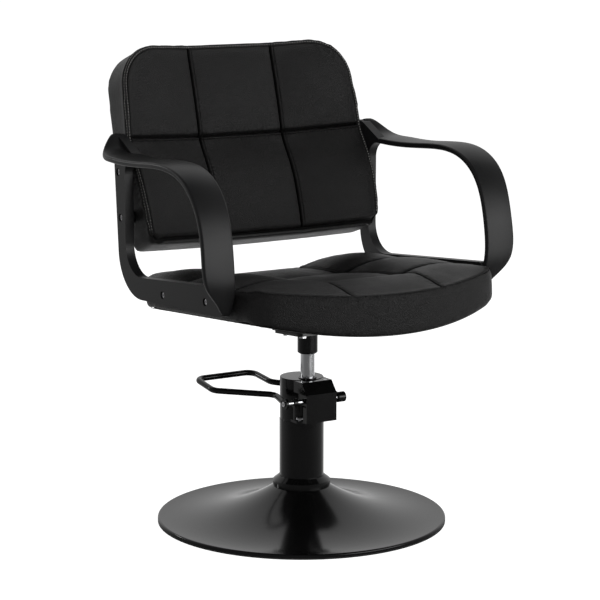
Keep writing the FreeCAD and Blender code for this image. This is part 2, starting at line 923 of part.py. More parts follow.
def seat_section(shares):
    place, side_share, seam_share, middle_share = shares
    length = seat_back if place > 0 else seat_front
    y = place * length + (overrun if place == 1 else 0)
    outside = seat_half_width + seat_bulge + overrun
    low = -seat_centre_drop - 2 * overrun
    crown_x = (panel_seam + seat_half_width) / 2
    border = Vector(seat_half_width, y, 0)
    crown = Vector(crown_x, y, side_share * seat_crown)
    seam = Vector(panel_seam, y, seam_share * seat_crown)
    middle = Vector(0, y, middle_share * seat_crown)
    edges = [
        line(Vector(outside, y, low), Vector(outside, y, 0)),
        line(Vector(outside, y, 0), border),
        arc(border, crown, seam),
        arc(seam, middle, Vector(-seam.x, y, seam.z)),
        arc(Vector(-seam.x, y, seam.z), Vector(-crown.x, y, crown.z), Vector(-border.x, y, 0)),
        line(Vector(-border.x, y, 0), Vector(-outside, y, 0)),
        line(Vector(-outside, y, 0), Vector(-outside, y, low)),
        line(Vector(-outside, y, low), Vector(outside, y, low)),
    ]
    return Part.Wire(edges)


def seat_top_form():
    rows = (seat_rear_row_shares, seat_middle_row_shares, seat_front_row_shares)
    lofts = [Part.makeLoft([seat_section(shares) for shares in row], True, False) for row in rows]
    return lofts[0].fuse(lofts[1:])


def seat_front_cap():
    # Waterfall front: everything under an arc that falls toward the front seam
    margin = 2 * seat_bulge + overrun
    x = -seat_half_width - margin
    front = -seat_front - margin
    back = seat_back + margin
    low = -seat_centre_drop - 3 * overrun
    high = 2 * seat_crown + overrun
    lip = Vector(x, -seat_front, -seat_front_drop)
    knee = Vector(x, -seat_front + seat_front_roll / 2, seat_knee_rise)
    top = Vector(x, -seat_front + seat_front_roll, seat_front_rise)
    return solid_of(Part.Wire([
        arc(lip, knee, top),
        line(top, Vector(x, top.y + seat_front_roll / 2, high)),
        line(Vector(x, top.y + seat_front_roll / 2, high), Vector(x, back, high)),
        line(Vector(x, back, high), Vector(x, back, low)),
        line(Vector(x, back, low), Vector(x, front, low)),
        line(Vector(x, front, low), Vector(x, front, -seat_front_drop)),
        line(Vector(x, front, -seat_front_drop), lip),
    ]), Vector(-2 * x, 0, 0))


def seat_arch(drop):
    # Round bar along the seat whose underside is the seat's arched bottom, lowered by the drop
    margin = 2 * seat_bulge + 2 * overrun
    length = seat_front + seat_back + 2 * margin
    start = Vector(0, -seat_front - margin, seat_arch_height)
    return Part.makeCylinder(seat_arch_radius + drop, length, start, Y_AXIS)


def seat_slab(inset, low, high):
    return solid_of(seat_plan(inset, low, 0), Vector(0, 0, high - low))


def seat_board_form(grow):
    slab = seat_slab(board_inset - grow, -seat_centre_drop - overrun, 0)
    return slab.common(seat_arch(0)).cut(seat_arch(-board_thick - grow))


def seat_batten_form(grow):
    outer = board_half + grow - seat_drawn_in
    bar = block(outer - batten_width - 2 * grow, outer, -batten_front - grow, batten_back + grow,
                -seat_centre_drop, grow - batten_drop)
    return bar.common(seat_arch(-board_thick))


def seat_cushion():
    form = seat_side_form().common(seat_top_form()).common(seat_front_cap()).common(seat_arch(0))
    pocket = seat_board_form(soft_gap).fuse(seat_arch(overrun).cut(seat_arch(0)))
    form = form.cut(pocket)
    side_holes = []
    for piece in both(seat_batten_form(soft_gap)):
        form = form.cut(piece)
    form = at_seat(form)
    board_edge = board_half - seat_drawn_in - batten_width / 2
    for place in seat_screw_places():
        start = Vector(board_edge, place.y, place.z)
        side_holes += both(rod(boss_radius + soft_gap, start, start + Vector(arm_outer, 0, 0)))
    for hole in side_holes:
        form = form.cut(hole)
    return max(form.Solids, key=lambda solid: solid.Volume)


def seat_board():
    board = at_seat(seat_board_form(0))
    for place in plate_bolt_places():
        board = board.cut(plate_bolt_bore(place, 0))
    return board


def seat_battens():
    battens = []
    for piece in both(seat_batten_form(0)):
        piece = at_seat(piece)
        for screw in arm_screw_shanks(seat_screw_places(), board_half - seat_drawn_in):
            piece = piece.cut(screw)
        battens.append(piece)
    return battens


def underside_cloth():
    slab = seat_slab(cloth_inset, -seat_centre_drop - cloth_thick - overrun, 0)
    cloth = slab.common(seat_arch(cloth_thick)).cut(seat_arch(0))
    return at_seat(cloth.cut(plate_outline(seat_gap, plate_foot, 0)))


def plate_outline(grow, low, high):
    half = block_half + grow
    length = block_length / 2 + grow
    corners = [(half, length), (-half, length), (-half, -length), (half, -length)]
    wire = rounded_outline([(Vector(x, y - plate_forward, low), block_corner) for x, y in corners])
    return solid_of(wire, Vector(0, 0, high - low))


def plate_bolt_places():
    return [Vector(x, y - plate_forward, plate_foot) for x in (-plate_bolt_x, plate_bolt_x)
            for y in (-plate_bolt_y, plate_bolt_y)]


def plate_bolt_bore(place, grow):
    top = plate_foot + plate_bolt_length
    return at_seat(post(bolt_radius + grow, place.x, place.y, plate_foot - overrun, top))


def mount_block():
    body = at_seat(plate_outline(0, plate_foot + plate_thick, 0).cut(seat_arch(0)))
    for place in plate_bolt_places():
        body = body.cut(plate_bolt_bore(place, running_gap))
    return body


def seat_plate():
    # Steel plate with the socket of the ram welded under it
    plate = at_seat(plate_outline(-plate_margin, plate_foot, plate_foot + plate_thick))
    for place in plate_bolt_places():
        plate = plate.cut(plate_bolt_bore(place, running_gap))
    return plate


def ram_socket():
    tube = post(socket_radius, 0, 0, socket_foot, seat_height)
    low = [edge for edge in tube.Edges if edge.BoundBox.ZMax < socket_foot + overrun]
    tube = at_ram(tube.makeChamfer(socket_chamfer, low))
    half = seat_half_width
    above = at_seat(block(-half, half, -seat_front, seat_back, plate_foot, seat_height))
    bore = at_ram(post(ram_radius + running_gap, 0, 0, socket_foot - overrun, socket_seat))
    return tube.cut(above).cut(bore)


def plate_bolts():
    bolts = []
    for place in plate_bolt_places():
        head = hexagon(bolt_head_across, bolt_head_height, place - Vector(0, 0, bolt_head_height), Z_AXIS)
        shank = post(bolt_radius, place.x, place.y, plate_foot, plate_foot + plate_bolt_length)
        bolts.append(at_seat(head.fuse(shank)))
    return bolts


# Back


def plan_sag(x):
    return -x ** 2 / (2 * back_plan_radius)


def back_plan(inset, depth):
    # Outline of the back seen square on, at one depth
    half = seat_half_width - back_bulge - inset
    top = back_top - inset
    foot = -back_foot + inset - (0 if inset else back_foot_slope)
    top_corner = back_top_corner - inset
    foot_corner = back_foot_corner - inset
    shoulder = Vector(half, depth, top - top_corner)
    hip = Vector(half, depth, foot + foot_corner)
    bulge = Vector(half + back_bulge, depth, (shoulder.z + hip.z) / 2)
    edges = [
        bend(Vector(half - top_corner, depth, top), Vector(half, depth, top), shoulder),
        arc(shoulder, bulge, hip),
        bend(hip, Vector(half, depth, foot), Vector(half - foot_corner, depth, foot)),
    ]
    flip = [mirrored(edge) for edge in edges]
    edges.append(line(Vector(half - foot_corner, depth, foot), Vector(foot_corner - half, depth, foot)))
    edges.append(line(Vector(top_corner - half, depth, top), Vector(half - top_corner, depth, top)))
    return Part.Wire(Part.__sortEdges__(edges + flip))


def back_slab(inset):
    reach = 2 * back_depth
    return solid_of(back_plan(inset, -reach), Vector(0, 2 * reach, 0))


def back_barrel(depth):
    # Round bar along the back's height whose rear side is the curve of the back at one depth
    foot = Vector(0, -back_plan_radius, -back_foot - 2 * overrun)
    return Part.makeCylinder(back_plan_radius + depth, back_foot + back_top + 4 * overrun, foot, Z_AXIS)


def back_section(shares):
    height_share, forward_share, fullness_share = shares
    length = back_top if height_share > 0 else back_foot
    z = height_share * length
    z += overrun if height_share == 1 else 0
    z -= back_foot_slope + overrun if height_share == -1 else 0
    forward = -forward_share * lumbar_depth
    puff = fullness_share * back_crown
    outside = seat_half_width + overrun
    crown_x = (back_seam + seat_half_width) / 2
    border = Vector(outside, forward + plan_sag(outside), z)
    crown = Vector(crown_x, forward + plan_sag(crown_x) - puff, z)
    seam = Vector(back_seam, forward + plan_sag(back_seam), z)
    rear = back_depth + overrun
    edges = [
        line(Vector(outside, rear, z), border),
        arc(border, crown, seam),
        arc(seam, Vector(0, forward - puff, z), Vector(-seam.x, seam.y, z)),
        arc(Vector(-seam.x, seam.y, z), Vector(-crown.x, crown.y, z), Vector(-outside, border.y, z)),
        line(Vector(-outside, border.y, z), Vector(-outside, rear, z)),
        line(Vector(-outside, rear, z), Vector(outside, rear, z)),
    ]
    return Part.Wire(edges)


def back_front_form():
    rows = (back_upper_row_shares, back_lower_row_shares)
    lofts = [Part.makeLoft([back_section(shares) for shares in row], True, False) for row in rows]
    return lofts[0].fuse(lofts[1])


def back_underside():
    # Everything under the foot of the back, which falls from its front edge to its rear
    x = -seat_half_width - overrun
    reach = 2 * back_depth
    fall = back_foot_slope / (back_depth + lumbar_depth)
    front = Vector(x, -reach, -back_foot + (reach - lumbar_depth) * fall)
    rear = Vector(x, reach, -back_foot - (reach + lumbar_depth) * fall)
    low = -2 * back_foot
    wedge = polygon([front, rear, Vector(x, reach, low), Vector(x, -reach, low)])
    return solid_of(wedge, Vector(-2 * x, 0, 0))


def back_batten_form(grow):
    outer = board_half + grow - back_bulge
    reach = 2 * back_depth
    bar = block(outer - batten_width - 2 * grow, outer, -reach, reach, -back_batten_foot - grow,
                grow - back_batten_top)
    return bar.common(back_barrel(back_board_front)).cut(back_barrel(back_batten_front - grow))


def back_board_form(grow, rear):
    return back_slab(board_inset - grow).common(back_barrel(rear)).cut(back_barrel(back_board_front - grow))


def back_cushion():
    form = back_front_form().common(back_slab(0)).common(back_barrel(back_depth)).cut(back_underside())
    form = form.cut(back_board_form(soft_gap, back_depth + overrun))
    for piece in both(back_batten_form(soft_gap)):
        form = form.cut(piece)
    form = at_back(form)
    edge = board_half - back_bulge - batten_width / 2
    for place in back_screw_places():
        start = Vector(edge, place.y, place.z)
        for hole in both(rod(boss_radius + soft_gap, start, start + Vector(arm_outer, 0, 0))):
            form = form.cut(hole)
    return max(form.Solids, key=lambda solid: solid.Volume)


def back_board():
    board = at_back(back_board_form(0, back_board_front + back_board_thick))
    for place in back_screw_places():
        start = Vector(board_half - back_bulge, place.y, place.z)
        for notch in both(rod(boss_radius + seat_gap, start, start + Vector(arm_outer, 0, 0))):
            board = board.cut(notch)
    return board


def back_battens():
    battens = []
    for piece in both(back_batten_form(0)):
        piece = at_back(piece)
        for screw in arm_screw_shanks(back_screw_places(), board_half - back_bulge):
            piece = piece.cut(screw)
        battens.append(piece)
    return battens


def back_rear_panel():
    front = back_board_front + back_board_thick
    panel = back_slab(back_panel_inset).common(back_barrel(front + back_panel_thick)).cut(back_barrel(front))
    return at_back(panel)


# Arms


def arm_place(x, y, z):
    return Vector(x, y - ram_offset, seat_height + z)


def arm_plate():
    # Upright and rail in one flat piece, open toward the strap
    ear_y = ear_end + strap_thick / 2
    ear_top = pad_top - pad_fall + ear_rise
    corners = [
        (arm_place(arm_inner, -rail_front, -rail_front_foot), rail_tip_corner),
        (arm_place(arm_inner, upright_back_foot, -rail_back_foot), upright_corner),
        (arm_place(arm_inner, upright_back_top, upright_top), upright_corner),
        (arm_place(arm_inner, ear_y, ear_top), strap_round),
        (arm_place(arm_inner, ear_end - strap_thick, ear_top - strap_thick / 2), strap_round),
        (arm_place(arm_inner, gusset_front + strap_thick, pad_top - pad_fall - strap_round), gusset_radius),
        (arm_place(arm_inner, gusset_front, gusset_top), strap_round),
        (arm_place(arm_inner, upright_front, gusset_top), gusset_radius),
        (arm_place(arm_inner, upright_front, -rail_back_top), opening_corner),
        (arm_place(arm_inner, -rail_front - tip_back + strap_round, rail_front_top), strap_round),
    ]
    return solid_of(rounded_outline(corners), Vector(arm_thick, 0, 0))


def strap_section(low, high, y, z, turn, thick):
    # Rounded slab across the strap. The turn is how far its face leans from level toward the front.
    out = Vector(0, -math.sin(turn), math.cos(turn))
    top = arm_place(0, y, z)

    def spot(x, depth):
        return Vector(x, top.y, top.z) - out * depth

    edge = strap_round
    middle = (low + high) / 2
    crown = strap_crown * (high - low) / pad_width
    return Part.Wire([
        arc(spot(low + edge, 0), spot(middle, -crown), spot(high - edge, 0)),
        bend(spot(high - edge, 0), spot(high, 0), spot(high, edge)),
        line(spot(high, edge), spot(high, thick - edge)),
        bend(spot(high, thick - edge), spot(high, thick), spot(high - edge, thick)),
        line(spot(high - edge, thick), spot(low + edge, thick)),
        bend(spot(low + edge, thick), spot(low, thick), spot(low, thick - edge)),
        line(spot(low, thick - edge), spot(low, edge)),
        bend(spot(low, edge), spot(low, 0), spot(low + edge, 0)),
    ])


def leg_stations():
    # Round the front corner of the arm and down its leaning leg
    centre_z = pad_top - leg_corner
    full = math.radians(90 - leg_lean)
    stations = []
    for index in range(1, leg_corner_sections + 1):
        turn = full * index / leg_corner_sections
        y = -pad_front - leg_corner * math.sin(turn)
        z = centre_z + leg_corner * math.cos(turn)
        share = index / leg_corner_sections
        outer = pad_outer + (strap_outer - pad_outer) * share
        stations.append((strap_inner, outer, y, z, turn))
    low, high, y, z, turn = stations[-1]
    foot_y = y - (z - leg_foot) * math.tan(math.radians(leg_lean))
    stations.append((strap_inner, strap_outer, foot_y, leg_foot, full))
    return stations


def tip_stations(foot_y):
    # The leg tapers and curls back into the front of the rail
    stations = []
    drop = leg_foot + tip_foot
    before = (foot_y, leg_foot)
    for drop_share, back_share, width_share in tip_shares:
        y = foot_y + back_share * tip_back
        z = leg_foot - drop_share * drop
        turn = math.pi / 2 + math.atan2(y - before[0], before[1] - z)
        low = strap_inner + (tip_stand - strap_stand) * drop_share
        stations.append((low, low + width_share * strap_width, y, z, turn))
        before = (y, z)
    return stations


def ear_stations():
    # The pad ends in an ear that narrows and turns up against the back
    stations = []
    base = pad_top - pad_fall
    for back_share, rise_share, width_share, tilt_share in ear_shares:
        y = pad_back + back_share * (ear_end - pad_back)
        z = base + rise_share * ear_rise
        low = arm_inner + rise_share * strap_stand
        high = low + width_share * pad_width
        stations.append((low, high, y, z, math.radians(ear_tilt * tilt_share)))
    return stations


def arm_strap():
    legs = leg_stations()
    slope = math.atan2(pad_fall, pad_front + pad_back)
    stations = list(reversed(ear_stations()))
    stations.append((arm_inner, pad_outer, pad_back, pad_top - pad_fall, 0))
    stations.append((strap_inner, pad_outer, (pad_back - pad_front) / 2, pad_top - pad_fall / 2, -slope))
    stations.append((strap_inner, pad_outer, -pad_front, pad_top, 0))
    stations += legs
    stations += tip_stations(legs[-1][2])
    wires = [strap_section(*station, strap_thick) for station in stations]
    return Part.makeLoft(wires, True, False)


def seat_screw_places():
    return [seat_point(0, y, -seat_screw_drop) for y in (seat_screw_back, -seat_screw_front)]


def back_screw_places():
    edge = board_half - back_bulge
    heights = ((back_screw_upper, back_screw_upper_depth), (back_screw_lower, back_screw_lower_depth))
    return [back_point(0, depth + plan_sag(edge), -height) for height, depth in heights]


def arm_screw_shanks(places, face):
    screws = []
    for place in places:
        start = Vector(face - screw_bite, place.y, place.z)
        screws += both(rod(screw_shank, start, start + Vector(arm_outer - face, 0, 0)))
    return screws


def arm(side):
    body = arm_plate().fuse(arm_strap())
    seats = [(place, board_half - seat_drawn_in) for place in seat_screw_places()]
    seats += [(place, board_half - back_bulge) for place in back_screw_places()]
    for place, face in seats:
        start = Vector(face, place.y, place.z)
        end = Vector(arm_outer + overrun, place.y, place.z)
        body = body.fuse(rod(boss_radius, start, Vector(arm_inner + overrun, place.y, place.z)))
        sink = Vector(arm_outer - screw_sink_depth, place.y, place.z)
        body = body.cut(rod(screw_shank + running_gap, start - Vector(overrun, 0, 0), end))
        body = body.cut(rod(screw_sink_radius, sink, end))
    return body if side > 0 else mirrored(body)


def arm_screws(side):
    screws = []
    seats = [(place, board_half - seat_drawn_in) for place in seat_screw_places()]
    seats += [(place, board_half - back_bulge) for place in back_screw_places()]
    for place, face in seats:
        under = Vector(arm_outer - screw_sink_depth, place.y, place.z)
        start = Vector(face - screw_bite, place.y, place.z)
        head = rod(screw_head_radius, under, under + Vector(screw_head_height, 0, 0))
        rim = [edge for edge in head.Edges if edge.BoundBox.XMin > under.x]
        head = head.makeChamfer(screw_head_height / 4, rim)
        recess_foot = under + Vector(screw_head_height - hex_recess_depth, 0, 0)
        recess = hexagon(hex_recess_across, screw_head_height, recess_foot, X_AXIS)
        screw = head.fuse(rod(screw_shank, start, under)).cut(recess)
        screws.append(screw if side > 0 else mirrored(screw))
    return screws


def parts():
    return {
        "base_disc": base_disc(),
        "floor_pad": floor_pad(),
        "ballast_plate": ballast_plate(),
        "column_flange": column_flange(),
        "base_bolts": base_bolts(),
        "base_nuts": base_nuts(),
        "collar": collar(),
        "column_tube": column_tube(),
        "cylinder_base": cylinder_base(),
        "inner_cylinder": inner_cylinder(),
        "pump_head": pump_head(),
        "ram_bush": ram_bush(),
        "ram_seal": ram_seal(),
        "gland": gland(),
        "piston_head": piston_head(),
        "piston_seal": piston_seal(),
        "thrust_washer": thrust_washer(),
        "ram": ram(),
        "ram_socket": ram_socket(),
        "seat_plate": seat_plate(),
        "plate_bolts": plate_bolts(),
        "mount_block": mount_block(),
        "seat_board": seat_board(),
        "seat_battens": seat_battens(),
        "underside_cloth": underside_cloth(),
        "seat_cushion": seat_cushion(),
        "back_board": back_board(),
        "back_battens": back_battens(),
        "back_rear_panel": back_rear_panel(),
        "back_cushion": back_cushion(),
        "arm_left": arm(1),
        "arm_right": arm(-1),
        "arm_screws_left": arm_screws(1),
        "arm_screws_right": arm_screws(-1),
        "pump_cover": pump_cover(),
        "cover_screws": cover_screws(),
        "pedal_shaft": drilled_shaft(),
        "pump_lever": pump_lever(),
        "plunger": plunger(),
        "plunger_spring": plunger_spring(),
        "release_arm": release_arm(),
        "release_button": release_button(),
        "pedal_loop": pedal_loop(),
        "pedal_screws": pedal_screws(),
    }


def write(name, shape):
    if isinstance(shape, list):
        shape = Part.makeCompound(shape)
    print(name, "solids", len(shape.Solids), "valid", shape.isValid(), "volume", round(shape.Volume))
    shape.exportStep("parts/" + name + ".step")


os.makedirs("parts", exist_ok=True)
for name, shape in parts().items():
    write(name, shape)
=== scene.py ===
import math

import bmesh
import bpy
import numpy as np
from mathutils import Matrix, Vector
from mathutils.bvhtree import BVHTree
from mathutils.geometry import convex_hull_2d
from mathutils.kdtree import KDTree


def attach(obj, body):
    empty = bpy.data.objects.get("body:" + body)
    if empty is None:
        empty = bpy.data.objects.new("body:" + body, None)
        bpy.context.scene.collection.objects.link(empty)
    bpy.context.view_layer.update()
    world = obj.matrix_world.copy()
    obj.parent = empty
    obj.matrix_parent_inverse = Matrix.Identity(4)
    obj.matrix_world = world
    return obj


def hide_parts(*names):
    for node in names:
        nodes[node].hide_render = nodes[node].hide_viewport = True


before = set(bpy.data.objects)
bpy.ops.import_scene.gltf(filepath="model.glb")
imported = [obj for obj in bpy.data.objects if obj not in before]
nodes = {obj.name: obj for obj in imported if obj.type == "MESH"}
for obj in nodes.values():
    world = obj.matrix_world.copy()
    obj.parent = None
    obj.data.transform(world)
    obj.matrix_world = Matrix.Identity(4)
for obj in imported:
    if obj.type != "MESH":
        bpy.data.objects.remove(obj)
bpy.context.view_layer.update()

scene = bpy.context.scene
print("frame loaded:", len(nodes), "nodes")

# The two cushions are worked in their own frames: x across, y along the face, z out of the face
chairPlan = {
    "ramBehind": -0.022,
    "seatHeight": 0.5085,
    "seatTilt": 4.3,
    "backBehind": 0.2373,
    "backHeight": 0.757,
    "backLean": 18.5,
}


def turnAboutX(degrees):
    return Matrix.Rotation(math.radians(degrees), 4, "X")


def placeSeat():
    spot = Matrix.Translation((0, chairPlan["ramBehind"], chairPlan["seatHeight"]))
    return spot @ turnAboutX(-chairPlan["seatTilt"])


def placeBack():
    spot = Matrix.Translation((0, chairPlan["backBehind"], chairPlan["backHeight"]))
    return spot @ turnAboutX(90 - chairPlan["backLean"])


def startGroup(name, inputs, outputs):
    tree = bpy.data.node_groups.new(name, "ShaderNodeTree")
    for label, kind, value in inputs:
        socket = tree.interface.new_socket(label, in_out="INPUT", socket_type=kind)
        if value is not None:
            socket.default_value = value
    for label, kind in outputs:
        tree.interface.new_socket(label, in_out="OUTPUT", socket_type=kind)
    return tree, tree.nodes.new("NodeGroupInput"), tree.nodes.new("NodeGroupOutput")


def mathNode(tree, operation, first, second):
    node = tree.nodes.new("ShaderNodeMath")
    node.operation = operation
    for index, value in enumerate((first, second)):
        if hasattr(value, "is_linked"):
            tree.links.new(value, node.inputs[index])
        else:
            node.inputs[index].default_value = value
    return node.outputs[0]


def rangeNode(tree, value, low, high, first, last):
    node = tree.nodes.new("ShaderNodeMapRange")
    node.interpolation_type = "SMOOTHSTEP"
    for index, number in enumerate((low, high, first, last), 1):
        node.inputs[index].default_value = number
    tree.links.new(value, node.inputs[0])
    return node.outputs[0]


def makeGrainGroup():
    # Pebbled hide: cells with soft tops, fine pores between them and slow creases
    tree, source, result = startGroup(
        "hideGrain",
        [("Position", "NodeSocketVector", None),
         ("Cells", "NodeSocketFloat", 650.0),
         ("Crease", "NodeSocketFloat", 30.0)],
        [("Height", "NodeSocketFloat"), ("Patch", "NodeSocketFloat")],
    )
    link = tree.links.new
    cells = tree.nodes.new("ShaderNodeTexVoronoi")
    cells.feature = "SMOOTH_F1"
    cells.inputs["Smoothness"].default_value = 0.6
    link(source.outputs["Position"], cells.inputs["Vector"])
    link(source.outputs["Cells"], cells.inputs["Scale"])
    pores = tree.nodes.new("ShaderNodeTexNoise")
    pores.inputs["Detail"].default_value = 3.0
    link(source.outputs["Position"], pores.inputs["Vector"])
    link(mathNode(tree, "MULTIPLY", source.outputs["Cells"], 1.7), pores.inputs["Scale"])
    crease = tree.nodes.new("ShaderNodeTexNoise")
    crease.inputs["Detail"].default_value = 4.0
    crease.inputs["Distortion"].default_value = 0.6
    link(source.outputs["Position"], crease.inputs["Vector"])
    link(source.outputs["Crease"], crease.inputs["Scale"])
    poreHeight = mathNode(tree, "MULTIPLY", pores.outputs["Fac"], 0.45)
    creaseHeight = mathNode(tree, "MULTIPLY", crease.outputs["Fac"], 0.5)
    bumps = mathNode(tree, "SUBTRACT", poreHeight, cells.outputs["Distance"])
    height = mathNode(tree, "ADD", bumps, creaseHeight)
    link(height, result.inputs["Height"])
    link(crease.outputs["Fac"], result.inputs["Patch"])
    return tree


def makeSpeckleGroup():
    # Fine even texture of moulded skin or powder coat, with a slow variation for its gloss
    tree, source, result = startGroup(
        "fineSpeckle",
        [("Position", "NodeSocketVector", None),
         ("Fine", "NodeSocketFloat", 900.0),
         ("Slow", "NodeSocketFloat", 14.0)],
        [("Height", "NodeSocketFloat"), ("Patch", "NodeSocketFloat")],
    )
    link = tree.links.new
    fine = tree.nodes.new("ShaderNodeTexNoise")
    fine.inputs["Detail"].default_value = 2.0
    slow = tree.nodes.new("ShaderNodeTexNoise")
    slow.inputs["Detail"].default_value = 5.0
    link(source.outputs["Position"], fine.inputs["Vector"])
    link(source.outputs["Position"], slow.inputs["Vector"])
    link(source.outputs["Fine"], fine.inputs["Scale"])
    link(source.outputs["Slow"], slow.inputs["Scale"])
    link(fine.outputs["Fac"], result.inputs["Height"])
    link(slow.outputs["Fac"], result.inputs["Patch"])
    return tree


def makeStreakGroup():
    # Lines left by turning, drawing or sawing, stretched along one axis
    tree, source, result = startGroup(
        "toolStreaks",
        [("Position", "NodeSocketVector", None),
         ("Stretch", "NodeSocketVector", (1, 1, 1)),
         ("Fine", "NodeSocketFloat", 400.0)],
        [("Height", "NodeSocketFloat"), ("Patch", "NodeSocketFloat")],
    )
    link = tree.links.new
    stretch = tree.nodes.new("ShaderNodeVectorMath")
    stretch.operation = "MULTIPLY"
    link(source.outputs["Position"], stretch.inputs[0])
    link(source.outputs["Stretch"], stretch.inputs[1])
    fine = tree.nodes.new("ShaderNodeTexNoise")
    fine.inputs["Detail"].default_value = 4.0
    link(stretch.outputs[0], fine.inputs["Vector"])
    link(source.outputs["Fine"], fine.inputs["Scale"])
    slow = tree.nodes.new("ShaderNodeTexNoise")
    slow.inputs["Scale"].default_value = 20.0
    link(source.outputs["Position"], slow.inputs["Vector"])
    link(fine.outputs["Fac"], result.inputs["Height"])
    link(slow.outputs["Fac"], result.inputs["Patch"])
    return tree


effects = {"hide": makeGrainGroup(), "speckle": makeSpeckleGroup(), "streaks": makeStreakGroup()}

# Each finish: its effect and that effect's inputs, two colours and two roughnesses that the
# slow variation runs between, the bump's depth, and the shader's own plain values
finishes = {
    "leatherette": {
        "effect": "hide", "inputs": {"Cells": 620.0, "Crease": 26.0},
        "colours": ((0.0050, 0.0049, 0.0050), (0.0095, 0.0092, 0.0092)), "roughness": (0.36, 0.46),
        "bump": 0.85, "depth": 0.0012, "plain": {"Specular IOR Level": 0.32},
    },
    "smoothHide": {
        "effect": "hide", "inputs": {"Cells": 900.0, "Crease": 40.0},
        "colours": ((0.008, 0.008, 0.008), (0.013, 0.013, 0.013)), "roughness": (0.26, 0.36),
        "bump": 0.18, "depth": 0.0004, "plain": {"Specular IOR Level": 0.45},
    },
    "armSkin": {
        "effect": "speckle", "inputs": {"Fine": 1100.0, "Slow": 11.0},
        "colours": ((0.0065, 0.0065, 0.0068), (0.0105, 0.0105, 0.0108)), "roughness": (0.33, 0.41),
        "bump": 0.10, "depth": 0.0004, "plain": {"Specular IOR Level": 0.32},
    },
    "basePaint": {
        "effect": "speckle", "inputs": {"Fine": 420.0, "Slow": 8.0},
        "colours": ((0.0015, 0.0015, 0.0016), (0.0030, 0.0030, 0.0031)), "roughness": (0.13, 0.18),
        "bump": 0.03, "depth": 0.0005, "plain": {"Specular IOR Level": 0.5},
    },
    "pumpPaint": {
        "effect": "speckle", "inputs": {"Fine": 260.0, "Slow": 18.0},
        "colours": ((0.0015, 0.0015, 0.0016), (0.0035, 0.0035, 0.0036)), "roughness": (0.11, 0.19),
        "bump": 0.04, "depth": 0.0005, "plain": {"Specular IOR Level": 0.5},
    },
    "blackPlastic": {
        "effect": "speckle", "inputs": {"Fine": 700.0, "Slow": 25.0},
        "colours": ((0.0015, 0.0015, 0.0015), (0.0030, 0.0030, 0.0030)), "roughness": (0.06, 0.11),
        "bump": 0.03, "depth": 0.0003, "plain": {"Specular IOR Level": 0.5},
    },
    "sealBlack": {
        "effect": "speckle", "inputs": {"Fine": 500.0, "Slow": 30.0},
        "colours": ((0.010, 0.010, 0.010), (0.020, 0.020, 0.020)), "roughness": (0.60, 0.80),
        "bump": 0.25, "depth": 0.0004, "plain": {},
    },
    "thread": {
        "effect": "streaks", "inputs": {"Fine": 900.0, "Stretch": (1.0, 1.0, 1.6)},
        "colours": ((0.0006, 0.0006, 0.0006), (0.0014, 0.0014, 0.0014)), "roughness": (0.55, 0.70),
        "bump": 0.4, "depth": 0.0003, "plain": {"Specular IOR Level": 0.15},
    },
    # Painted highlight: this band thread is pale so that its stitches read as glints
    "paintedGlintThread": {
        "effect": "streaks", "inputs": {"Fine": 900.0, "Stretch": (1.0, 1.0, 1.6)},
        "colours": ((0.14, 0.137, 0.133), (0.30, 0.295, 0.285)), "roughness": (0.22, 0.32),
        "bump": 0.4, "depth": 0.0003, "plain": {"Specular IOR Level": 0.6},
    },
    "underCloth": {
        "effect": "speckle", "inputs": {"Fine": 380.0, "Slow": 60.0},
        "colours": ((0.008, 0.008, 0.008), (0.022, 0.022, 0.022)), "roughness": (0.85, 0.95),
        "bump": 0.6, "depth": 0.0006, "plain": {"Sheen Weight": 0.2},
    },
    "chrome": {
        "effect": "streaks", "inputs": {"Fine": 300.0, "Stretch": (0.05, 0.05, 6.0)},
        "colours": ((0.86, 0.87, 0.89), (0.93, 0.94, 0.96)), "roughness": (0.12, 0.22),
        "bump": 0.02, "depth": 0.0002, "plain": {"Metallic": 1.0},
    },
    "zinc": {
        "effect": "speckle", "inputs": {"Fine": 500.0, "Slow": 120.0},
        "colours": ((0.82, 0.82, 0.83), (0.92, 0.92, 0.94)), "roughness": (0.22, 0.34),
        "bump": 0.12, "depth": 0.0002, "plain": {"Metallic": 1.0},
    },
    "steel": {
        "effect": "streaks", "inputs": {"Fine": 350.0, "Stretch": (1.0, 1.0, 5.0)},
        "colours": ((0.34, 0.34, 0.35), (0.46, 0.46, 0.47)), "roughness": (0.28, 0.42),
        "bump": 0.12, "depth": 0.0002, "plain": {"Metallic": 1.0},
    },
    "oiledSteel": {
        "effect": "streaks", "inputs": {"Fine": 300.0, "Stretch": (1.0, 1.0, 4.0)},
        "colours": ((0.10, 0.10, 0.10), (0.17, 0.17, 0.17)), "roughness": (0.22, 0.36),
        "bump": 0.12, "depth": 0.0002, "plain": {"Metallic": 1.0},
    },
    "bronze": {
        "effect": "streaks", "inputs": {"Fine": 500.0, "Stretch": (1.0, 1.0, 4.0)},
        "colours": ((0.42, 0.28, 0.13), (0.55, 0.38, 0.19)), "roughness": (0.30, 0.42),
        "bump": 0.15, "depth": 0.0002, "plain": {"Metallic": 1.0},
    },
    "plywood": {
        "effect": "streaks", "inputs": {"Fine": 90.0, "Stretch": (0.6, 8.0, 14.0)},
        "colours": ((0.42, 0.28, 0.15), (0.62, 0.46, 0.28)), "roughness": (0.55, 0.75),
        "bump": 0.25, "depth": 0.0006, "plain": {},
    },
    # Near-black plywood, much darker than the bare plywood above
    "nearBlackPly": {
        "effect": "streaks", "inputs": {"Fine": 90.0, "Stretch": (0.6, 8.0, 14.0)},
        "colours": ((0.006, 0.006, 0.006), (0.016, 0.015, 0.015)), "roughness": (0.55, 0.75),
        "bump": 0.25, "depth": 0.0006, "plain": {},
    },
}

# Painted shade for the seam bottoms: a near-black colour and added roughness where the crease attribute is
# high
seamShadePaint = {"colour": (0.0006, 0.0006, 0.0006), "dulling": 0.4}
patchRange = (0.25, 0.75)


